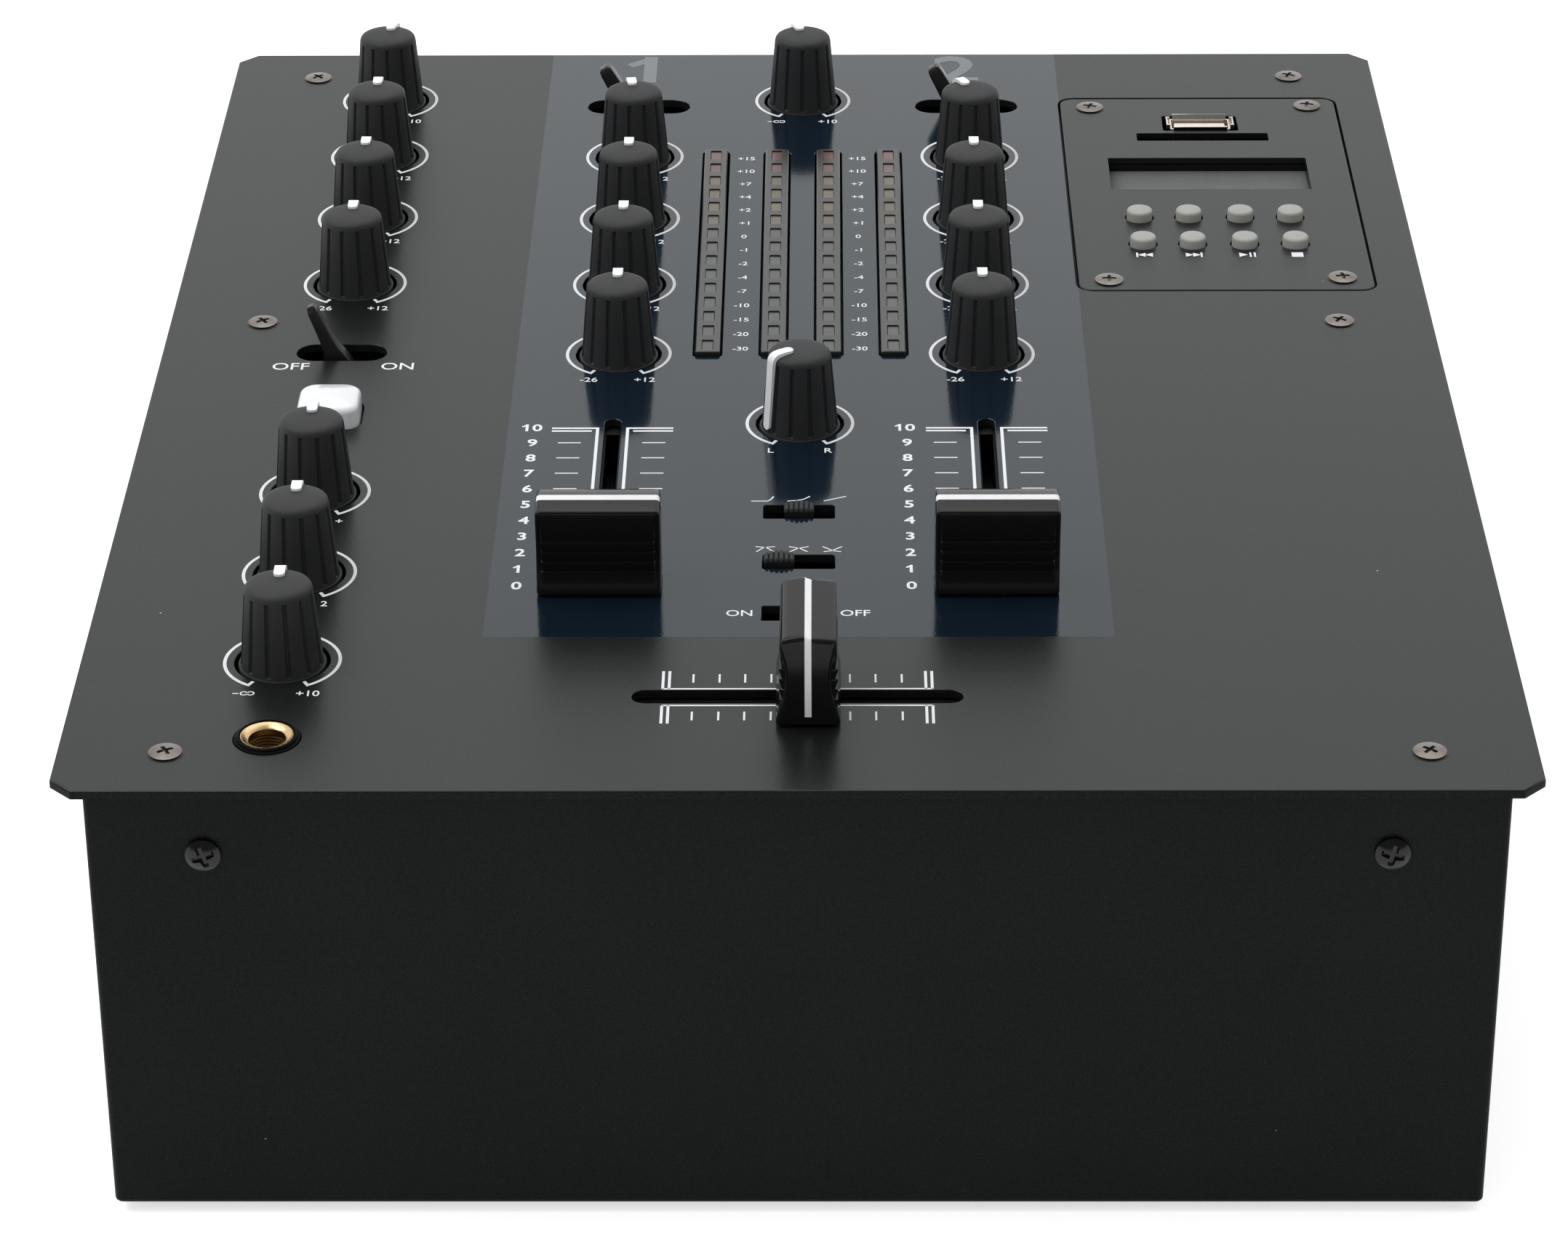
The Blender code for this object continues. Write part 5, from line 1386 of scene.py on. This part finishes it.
def cap_side(waisted, rear):
    """Half of a fader cap's section from its white line to its foot: waisted at the cap's ends, or ridged.

    The rear half starts higher than the front one.
    """
    line = [(out, CAP_HIGH - drop) for out, drop in (CAP_REAR_TOP if rear else CAP_FRONT_TOP)]
    flank = [CAP_SHOULDER]
    for k in range(RIDGES):
        flank += [(out, RIDGE_HIGH - k * RIDGE_PITCH - fall) for out, fall in RIDGE]
    high, low = CAP_HIGH - CAP_TOP_DEPTH, RIDGE_HIGH - RIDGES * RIDGE_PITCH
    for out, height in flank:
        bow = math.sin(math.pi * (high - height) / (high - low))
        reach = out if rear else out + FRONT_FULLER
        line.append((CAP_HALF - CAP_WAIST * bow if waisted else reach, height))
    return line + [(0.00503 if waisted else 0.0051, CAP_SKIRT_HIGH)] + CAP_SKIRT


def on_cap_slope(strap):
    """Tips the top of a strap over the cap to the front, as the cap's top is between its two halves."""
    slope = Matrix.Identity(4)
    slope[2][1] = CAP_STEP / (2 * CAP_LINE)
    slope[2][3] = -CAP_STEP / 2
    tops = [vert for vert in strap.verts if vert.co.z > CAP_HIGH - CAP_TOP_DEPTH]
    bmesh.ops.transform(strap, matrix=slope, verts=tops)
    return strap


def fader_cap():
    """A waisted, ridged cap along X, and the white line let into its top and its ends."""
    tall = CAP_HIGH - CAP_LOW
    stations = [(x, inset, True) for x, inset in CAP_ENDS] + [(CAP_GRIP, 0.0, False)]
    sections = []
    for side in (1, -1):
        for x, inset, waisted in stations[::side]:
            front = [(-y, z) for y, z in cap_side(waisted, False)]
            sections.append(
                [
                    (side * x, y * (1 - inset / 0.005), CAP_LOW + (z - CAP_LOW) * (1 - inset / tall))
                    for y, z in cap_side(waisted, True) + front[::-1]
                ]
            )
    half_path = [(CAP_ENDS[0][0], CAP_LINE_LOW)] + [(x, CAP_HIGH - inset) for x, inset in CAP_ENDS]
    path = half_path + [(-x, z) for x, z in reversed(half_path)]
    along = turn_about("Z", 90)
    groove = placed(ribbon(path, 2 * CAP_LINE, CAP_LINE_DEPTH, 0.0004), (0, 0, 0), along)
    line = placed(ribbon(path, 2 * CAP_LINE, 0.0004, -0.4 * CAP_LINE_DEPTH), (0, 0, 0), along)
    cap = carved(lofted(sections), on_cap_slope(groove))
    stem = placed(block(STEM), (0, 0, STEM_MIDDLE))
    return joined([cap, stem]), on_cap_slope(line)


def make_faders():
    """The two channel caps across their slots and the crossfader's, a quarter turned."""
    cap, inlay = fader_cap()
    for name, spot, turn in (
        ("ch1_fader_cap", (CH1_X, CHANNEL_REST), None),
        ("ch2_fader_cap", (CH2_X, CHANNEL_REST), None),
        ("crossfader_cap", CROSS_REST, turn_about("Z", 90)),
    ):
        place = on_plate(spot)
        piece(f"{name}_body", copy_of(cap, place, turn), FADER_PLASTIC, name, [name])
        piece(f"{name}_line", copy_of(inlay, place, turn), POINTER_PLASTIC, name)
    cap.free()
    inlay.free()


def make_levers():
    """Bat levers, flared at the pivot and rounded at the tip, all leaning left."""
    low, high = LEVER_BLADE
    for name, (x, y, _, lean, stretch) in LEVERS.items():
        sections = []
        for z, *sides in LEVER_SECTIONS:
            share = min(max((z - low) / (high - low), 0), 1)
            sections.append((z, *(side * (1 + share * (by - 1)) for side, by in zip(sides, stretch))))
        lever = grown(opening(0, 0, 1, 1, 0.0004), sections)
        placed(lever, on_plate((x, y), LEVER_PIVOT), turn_about("Y", -lean))
        piece(f"{name}_bat", lever, SWITCH_PLASTIC, name, [name])


def slider_knob():
    """A small arched slide knob with ridges over it and down its sides, bulging at its middle."""
    half = SLIDER_SIZE[0] / 2
    line = [(-half, SLIDER_FOOT, 1.0), (-half, SLIDER_RISE - SLIDER_TOOTH - SLIDER_ARCH, 1.0)]
    pitch = SLIDER_SIZE[0] / SLIDER_TEETH
    for k in range(SLIDER_TEETH):
        for share, drop in ((0.14, 0.45), (0.28, 0.1), (0.5, 0.0), (0.72, 0.1), (0.86, 0.45), (1.0, 1.0)):
            x = -half + (k + share) * pitch
            arch = SLIDER_ARCH * (1 - (x / half) ** 2)
            line.append((x, SLIDER_RISE - SLIDER_ARCH + arch - drop * SLIDER_TOOTH, drop))
    line.append((half, SLIDER_FOOT, 1.0))
    edges = ((1.0, 0.0006), (0.94, 0.00025), (0.82, 0.0))
    sections = []
    for share, fall in [(-share, fall) for share, fall in edges] + list(edges[::-1]):
        section = []
        for x, z, drop in line:
            reach = SLIDER_SIZE[1] / 2 * (1 - 0.3 * (x / half) ** 2) - 0.7 * drop * SLIDER_TOOTH
            section.append((x, share * reach, z if z < 0 else max(z - fall, 0)))
        sections.append(section)
    length, width, low = SLIDER_STEM
    high = SLIDER_FOOT + 0.0004
    stem = placed(block((length, width, high - low)), (0, 0, (high + low) / 2))
    return joined([lofted(sections), stem])


def make_sliders():
    """Three ridged slide knobs in their slots."""
    knob = slider_knob()
    for name, (x, y) in SLIDERS.items():
        piece(f"{name}_knob", copy_of(knob, on_plate((x, y))), KNOB_PLASTIC, name, [name])
    knob.free()


def make_mic_button():
    """The square white push button, soft-cornered and slightly crowned."""
    outline = opening(0, 0, BUTTON_SIZE, BUTTON_SIZE, BUTTON_CORNER)
    shoulder = BUTTON_RISE - BUTTON_CROWN - BUTTON_EDGE
    stations = [(BUTTON_FOOT, 0.0), (shoulder, 0.0)]
    for degrees in (18, 36, 54, 72, 90):
        turn = math.radians(degrees)
        stations.append((shoulder + BUTTON_EDGE * math.sin(turn), -BUTTON_EDGE * (1 - math.cos(turn))))
    for share in (0.82, 0.6, 0.35, 0.12):
        inwards = BUTTON_EDGE + (BUTTON_SIZE / 2 - BUTTON_EDGE) * (1 - share)
        stations.append((BUTTON_RISE - BUTTON_CROWN * share * share, -inwards))
    shape = bmesh.new()
    foot = add_line(shape, outline, 0.0)
    top = carried_down(shape, foot, outline, stations)
    for line in (foot, top):
        bmesh.ops.contextual_create(shape, geom=line)
    bmesh.ops.recalc_face_normals(shape, faces=shape.faces)
    placed(smoothed(shape), on_plate(BUTTON_SPOT, BUTTON_FOOT))
    piece("mic_button_cap", shape, WHITE_PLASTIC, "mic_button", ["mic_button"])


def make_meter():
    """Four bars that stand up through their windows: smoked covers over rows of unlit lamps."""
    covers, lamps = [], {"red": [], "amber": [], "green": []}
    rows = len(METER_SCALE)
    for x in METER_XS:
        windows = [
            flat_opening((x, METER_FIRST + k * METER_PITCH), *METER_SEGMENT, 0.0002) for k in range(rows)
        ]
        outline = flat_opening((x, METER_MIDDLE), *METER_BAR, 0.0008)
        rim = quarter_round(0.0003, METER_COVER, 3)
        cover = pierced_sheet(outline, windows, rim, cut_lip(0.00005, METER_COVER))
        covers.append(placed(cover, (0, 0, PLATE_TOP + METER_PROUD)))
        depth = METER_PROUD - METER_COVER - METER_FOOT
        case = block((METER_BAR[0] - 0.0001, METER_BAR[1] - 0.0001, depth))
        middle = on_plate((x, METER_MIDDLE), METER_PROUD - METER_COVER - depth / 2)
        covers.append(placed(case, middle))
        for k in range(rows):
            left = rows - k
            tone = "red" if left <= METER_REDS else "amber" if left <= METER_REDS + METER_AMBERS else "green"
            lamp = block((METER_SEGMENT[0] - 0.00006, METER_SEGMENT[1] - 0.00006, 0.0003), 0.00008)
            place = on_plate((x, METER_FIRST + k * METER_PITCH), METER_PROUD - METER_COVER + 0.0001)
            lamps[tone].append(placed(lamp, place))
    piece("meter_covers", joined(covers), METER_PLASTIC, "housing", ["level_meter"])
    for tone, finish in (("red", LAMP_RED), ("amber", LAMP_AMBER), ("green", LAMP_GREEN)):
        piece(f"meter_lamps_{tone}", joined(lamps[tone]), finish, "housing")


# Player module and jacks ------------------------------------------------------------------------------


def make_player():
    """The player's plate with its openings, the USB socket's among them, the sunken display and the eight
    buttons.
    """
    openings = [
        flat_opening(USB_CENTRE, *USB_OPENING, 0.0004),
        flat_opening(CARD_CENTRE, *CARD_SLOT, 0.0003),
        flat_opening(DISPLAY_CENTRE, *DISPLAY_WINDOW, 0.0003),
    ]
    buttons = [(x, y) for y in PLAYER_BUTTON_YS for x in PLAYER_BUTTON_XS]
    openings += [hole(x, FRONT_EDGE + y, PLAYER_BUTTON_HOLE) for x, y in buttons]
    outline = flat_opening(MODULE_CENTRE, *MODULE_SIZE, MODULE_CORNER)
    rim = quarter_round(0.0003, MODULE_THICKNESS, 3)
    plate = pierced_sheet(outline, openings, rim, cut_lip(HOLE_EDGE, MODULE_THICKNESS))
    placed(plate, (0, 0, PLATE_TOP))
    piece("player_faceplate", plate, MODULE_PAINT, "housing", ["player_plate"])

    lap = [side + 2 * DISPLAY_LAP for side in DISPLAY_WINDOW]
    tall = DISPLAY_DROP - MODULE_THICKNESS - DISPLAY_GAP
    outline = flat_opening(DISPLAY_CENTRE, *lap, 0.0005)
    window = flat_opening(DISPLAY_CENTRE, *DISPLAY_WINDOW, 0.0003)
    walls = pierced_sheet(outline, [window], straight(tall), straight(tall))
    placed(walls, (0, 0, PLATE_TOP - MODULE_THICKNESS - DISPLAY_GAP))
    piece("display_frame", walls, FADER_PLASTIC, "housing")
    glass = block((*lap, DISPLAY_PANEL), 0.0001)
    placed(glass, on_plate(DISPLAY_CENTRE, -DISPLAY_DROP - DISPLAY_PANEL / 2))
    piece("display_panel", glass, DISPLAY_GLASS, "housing", ["player_display"])

    rise, radius = PLAYER_BUTTON_RISE, PLAYER_BUTTON_RADIUS
    profile = [
        (0.0, rise),
        (radius - 0.0007, rise - 0.00002),
        (radius - 0.0003, rise - 0.00012),
        (radius - 0.00008, rise - 0.00035),
        (radius, rise - 0.0007),
        (radius, -0.0018),
        (radius + 0.0006, -0.0019),
        (radius + 0.0006, -0.0024),
        (0.0, -0.0024),
    ]
    button = turned(profile, 40)
    for k, spot in enumerate(buttons, 1):
        cap = copy_of(button, on_plate(spot))
        name = f"player_button_{k}"
        piece(f"{name}_cap", cap, GREY_PLASTIC, name, [name])
    button.free()


def make_usb():
    """The USB socket: a folded nickel shell with flared lips, and the cream tongue in it."""
    width, depth = USB_SHELL
    outline = opening(0, 0, width, depth, 0.0004)
    inside = opening(0, 0, width - 2 * USB_WALL, depth - 2 * USB_WALL, 0.0003)
    shell = pierced_sheet(outline, [inside], straight(USB_LENGTH), straight(USB_LENGTH))
    parts = [placed(shell, (0, 0, -0.0002))]
    for way in (-1, 1):
        lip = placed(block((width - 0.0014, USB_WALL, 0.0013), 0.0001), (0, 0, 0.0005))
        parts.append(placed(lip, (0, way * (depth / 2 + 0.00008), -0.0003), turn_about("X", way * -28)))
        ear = placed(block((USB_WALL, depth - 0.0016, 0.0012), 0.0001), (0, 0, 0.0005))
        parts.append(placed(ear, (way * (width / 2 + 0.0001), 0, -0.0003), turn_about("Y", way * 30)))
        for end in (-1, 1):
            hook = block((0.0009, USB_WALL, 0.0011), 0.0001)
            parts.append(placed(hook, (way * (width / 2 + 0.0004), end * (depth / 2 - 0.0008), 0.0001)))
    shell = placed(joined(parts), on_plate(USB_CENTRE))
    piece("usb_shell", shell, NICKEL, "housing", ["usb_socket"])
    tongue_width, tongue_depth, offset = USB_TONGUE
    tongue = block((tongue_width, tongue_depth, USB_LENGTH - 0.001), 0.0002)
    placed(tongue, (0, 0, -USB_LENGTH / 2 - 0.0001))
    floor = placed(block((width - 0.001, depth - 0.001, 0.0012)), (0, -offset, -USB_LENGTH + 0.0006))
    filling = placed(joined([tongue, floor]), on_plate((USB_CENTRE[0], USB_CENTRE[1] + offset)))
    piece("usb_tongue", filling, CREAM_PLASTIC, "housing")


def jack_parts():
    """A quarter-inch jack about Z, its panel at z = 0: black nut, brass lip and threaded bore."""
    nut = turned(
        [
            (0.00472, 0.0006),
            (0.00485, 0.00078),
            (0.00505, 0.00078),
            (0.0053, 0.0006),
            (0.0054, 0.00025),
            (0.0057, 0.00018),
            (0.0058, 0.00005),
            (0.0058, -0.0015),
            (0.00472, -0.0015),
        ]
    )
    lip = turned(
        [
            (JACK_MOUTH, 0.0004),
            (JACK_MOUTH - 0.0001, 0.00062),
            (JACK_MOUTH - 0.0003, 0.00062),
            (JACK_BORE + 0.0002, 0.0001),
            (JACK_BORE, -0.0001),
            (JACK_BORE, -0.0012),
            (JACK_MOUTH, -0.0012),
        ]
    )
    bore = [(JACK_MOUTH, -0.0012)]
    for k in range(12):
        low = -0.0012 - 0.0006 * k
        bore += [(JACK_BORE, low), (JACK_BORE + 0.0002, low - 0.0003)]
    bore += [(JACK_BORE, -0.0086), (JACK_BORE, 0.002 - JACK_LENGTH), (0.0045, 0.002 - JACK_LENGTH)]
    return nut, lip, turned(bore)


def make_jacks():
    """The headphone jack on the faceplate and the microphone jack on the back wall."""
    parts = jack_parts()
    # The bore's brass is darker than the lip's: partly tarnish, partly painted shade inside it
    looks = ((NUT_PLASTIC, "fader_plastic"), (BRASS, "brass"), (TARNISHED_SHADED_BRASS, "brass"))
    for name, place, turn in (
        ("phones_jack", on_plate(PHONES_SPOT), None),
        ("mic_jack", Vector((MIC_JACK_X, REAR_WALL, REAR_ROW)), FACING_BACK),
    ):
        for part, label, (finish, slot) in zip(parts, ("nut", "lip", "bore"), looks):
            nodes = [name] if label == "bore" else []
            piece(f"{name}_{label}", copy_of(part, place, turn), finish, "housing", nodes)
        body = block((JACK_BODY, JACK_BODY, JACK_LENGTH - 0.003), 0.0006)
        placed(body, (0, 0, -0.0005 - JACK_LENGTH / 2))
        tunnel = turned([(0, 0.03), (JACK_TUNNEL, 0.03), (JACK_TUNNEL, -0.024), (0, -0.024)], 24)
        body = placed(carved(body, tunnel), place, turn)
        piece(f"{name}_body", body, SOCKET_PLASTIC, "housing")
    for part in parts:
        part.free()


# Back wall --------------------------------------------------------------------------------------------


def make_phono_sockets():
    """Blocks of four phono sockets: nickel barrels through the back wall, white above and red below."""
    barrel = turned(
        [
            (0.0033, 0.009),
            (0.004, 0.009),
            (PHONO_RADIUS, 0.0087),
            (PHONO_RADIUS, 0.0006),
            (0.00455, 0.0006),
            (0.00455, -0.0003),
            (0.0033, -0.0003),
        ],
        PHONO_SIDES,
    )
    insert_line = [(0.00165, 0.0084), (0.0019, 0.0086), (0.0033, 0.0086), (0.0033, 0.0), (0.00165, 0.0)]
    insert = turned(insert_line, PHONO_SIDES)
    for node, x in PHONO_BLOCKS.items():
        behind = (x, REAR_WALL - SHEET - 0.0003 - PHONO_BLOCK[1] / 2, REAR_ROW)
        body = placed(block(PHONO_BLOCK, 0.0006), behind)
        name = node.replace("_rca_block", "_phono")
        piece(f"{name}_block", body, SOCKET_PLASTIC, "housing", [node])
        barrels, inserts = [], {1: [], -1: []}
        for row, post in phono_posts(x):
            barrels.append(copy_of(barrel, post, FACING_BACK))
            inserts[row].append(copy_of(insert, post, FACING_BACK))
        for label, shapes, finish, slot in (
            ("barrels", barrels, NICKEL, "nickel"),
            ("left_inserts", inserts[1], CREAM_PLASTIC, "white_plastic"),
            ("right_inserts", inserts[-1], RED_PLASTIC, "fader_plastic"),
        ):
            piece(f"{name}_{label}", joined(shapes), finish, "housing")
    barrel.free()
    insert.free()


def make_ground_post():
    """The earth terminal: a knurled thumb nut on a flanged post."""
    nut = turned(
        [
            (0.0, 0.0085),
            (0.0012, 0.0085),
            (0.0016, 0.0078),
            (0.0041, 0.0078),
            (0.0045, 0.0074),
            (0.0045, 0.0032),
            (0.0041, 0.0028),
            (0.003, 0.0028),
            (0.003, 0.0016),
            (0.0049, 0.0015),
            (0.005, 0.0003),
            (0.0018, 0.0003),
            (0.0018, -0.006),
            (0.0, -0.006),
        ],
        60,
    )
    knurl = []
    for face in nut.faces:
        middle = face.calc_center_median()
        column = math.floor(math.atan2(middle.y, middle.x) / math.tau * 60)
        if 0.0032 < middle.z < 0.0074 and middle.xy.length > 0.0043 and column % 2:
            knurl.append(face)
    bmesh.ops.inset_region(nut, faces=knurl, use_even_offset=True, thickness=0.00005, depth=-0.00022)
    placed(nut, (GROUND_X, REAR_WALL, REAR_ROW), FACING_BACK)
    piece("ground_nut", smoothed(nut), NICKEL, "housing", ["ground_post"])


def make_inlet():
    """The mains inlet: a flanged moulding with three pins, and its rocker switch."""
    flange = pierced_sheet(
        opening(0, 0, *INLET_FLANGE, 0.002),
        [
            opening(INLET_X - SOCKET_X, 0, *SOCKET_SIZE, 0.003),
            opening(INLET_X - ROCKER_X, 0, ROCKER_SIZE[0] + 0.0012, ROCKER_SIZE[1] + 0.0012, 0.0005),
        ],
        [(height + INLET_PROUD, grow) for height, grow in quarter_round(0.0006, 0.0022, 3)],
        [(INLET_PROUD, 0.0002), (0.0023, 0.0), (-0.0125, 0.0)],
    )
    back = placed(block((*INLET_BODY, 0.008), 0.0005), (0, 0, -0.0165))
    moulding = placed(joined([flange, back]), (INLET_X, REAR_WALL, REAR_ROW), FACING_BACK)
    piece("inlet_moulding", moulding, SOCKET_PLASTIC, "housing", ["power_inlet"])
    pins = []
    for x, z in ((-0.007, -0.002), (0.007, -0.002), (0.0, 0.002)):
        pin = placed(block((0.002, 0.0125, 0.004), 0.0004), (SOCKET_X + x, REAR_WALL - 0.0068, REAR_ROW + z))
        pins.append(pin)
    piece("inlet_pins", joined(pins), NICKEL, "housing")

    half = ROCKER_SIZE[1] / 2
    line = [(0, 0.0024), (half * 0.5, 0.0031), (half - 0.0004, 0.0042), (half, 0.0039)]
    line += [(half - 0.0006, 0.0007), (0.003, -0.0028)]
    outline = line + [(-y, z) for y, z in reversed(line[1:])]
    sections = []
    for x in (-0.0072, -0.007, 0.007, 0.0072):
        inset = 0.97 if abs(x) > 0.0071 else 1.0
        sections.append([(x, y * inset, z * inset) for y, z in outline])
    rocker = lofted(sections)
    signs = []
    on_sign = stroke([(0, -0.0014), (0, 0.0014)], 0.0005)
    for way, shape in ((1, on_sign), (-1, arc(0.0012, 0.0005, 0, 360, 28))):
        bmesh.ops.solidify(shape, geom=shape.faces[:], thickness=0.00006)
        signs.append(placed(shape, (0, way * 0.0066, 0.00366), Matrix.Rotation(way * 0.256, 4, "X")))
    pivot = Vector((ROCKER_X, REAR_WALL + INLET_PROUD - ROCKER_SUNK, REAR_ROW))
    tilt = FACING_BACK @ turn_about("X", ROCKER_TILT)
    for name, shape, finish, slot, nodes in (
        ("rocker_key", rocker, FADER_PLASTIC, "fader_plastic", ["power_rocker"]),
        ("rocker_signs", joined(signs), WHITE_INK, "white_plastic", []),
    ):
        piece(name, placed(shape, pivot, tilt), finish, "power_rocker", nodes)


def finish_inner_parts():
    """Finishes for the CAD nodes inside the housing, which show only through the slots."""
    finishes = {
        "top_frame": ZINC,
        "main_board": BOARD_GREEN,
        "player_board": BOARD_GREEN,
        "ch1_fader_body": FADER_STEEL,
        "ch2_fader_body": FADER_STEEL,
        "crossfader_body": FADER_STEEL,
        "power_transformer": CORE_STEEL,
    }
    for node, finish in finishes.items():
        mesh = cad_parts[node].data
        mesh.materials.clear()
        mesh.materials.append(finish)


# Studio -----------------------------------------------------------------------------------------------


def make_floor():
    """A wide pale floor that reads white to the camera and keeps the mixer's soft shadow."""
    shape = bmesh.new()
    bmesh.ops.create_grid(shape, x_segments=1, y_segments=1, size=8)
    mesh = as_mesh("floor", shape)
    paper = new_finish("floor paper", Roughness=0.9, Specular_IOR_Level=0.1)
    mottle = paper.noise(3, 2.0)
    colour = paper.blend(mottle, grey(0.86), grey(0.88))
    glow = paper.blend(paper.ray("Camera", "Glossy", "Transmission"), grey(0.0), grey(FLOOR_GLOW))
    mesh.materials.append(paper.show(Base_Color=colour, Emission_Color=glow, Emission_Strength=1.0))
    floor = in_scene("floor", mesh)


def make_light():
    """A white studio, dark only in front where the camera stands, with two large soft lamps overhead."""
    studio = Shading(bpy.data.worlds.new("studio"), "BACKGROUND", "Generated", Color=grey(1.0))
    behind = (studio.along("Y") * 0.9 + 0.75).at_least(STUDIO_FRONT).at_most(STUDIO_BACK)
    mirrored = studio.ray("Glossy", "Transmission")
    level = STUDIO_FILL + (behind - STUDIO_FILL) * mirrored
    bpy.context.scene.world = studio.show(Strength=level.at_least(studio.ray("Camera")))
    for name, (place, size, power) in LAMPS.items():
        lamp = bpy.data.lights.new(name, "AREA")
        lamp.shape = "SQUARE"
        lamp.size = size
        lamp.energy = power
        obj = in_scene(name, lamp)
        obj.location = place
        obj.rotation_euler = (-Vector(place)).to_track_quat("-Z", "Y").to_euler()


def make_camera():
    """A long lens in front of the mixer, looking down on it."""
    camera = bpy.data.cameras.new("camera")
    camera.lens = CAMERA_LENS
    obj = in_scene("camera", camera)
    turn = turn_about("Z", CAMERA_YAW) @ turn_about("X", 90 - CAMERA_PITCH) @ turn_about("Z", CAMERA_ROLL)
    obj.matrix_world = Matrix.Translation(CAMERA_PLACE) @ turn
    bpy.context.scene.camera = obj
    bpy.context.scene.view_settings.view_transform = "Standard"


make_faceplate()
make_tub()
make_feet()
make_screws()
make_printing()
make_knobs()
make_faders()
make_levers()
make_sliders()
make_mic_button()
make_meter()
make_player()
make_usb()
make_jacks()
make_phono_sockets()
make_ground_post()
make_inlet()
finish_inner_parts()
make_floor()
make_light()
make_camera()
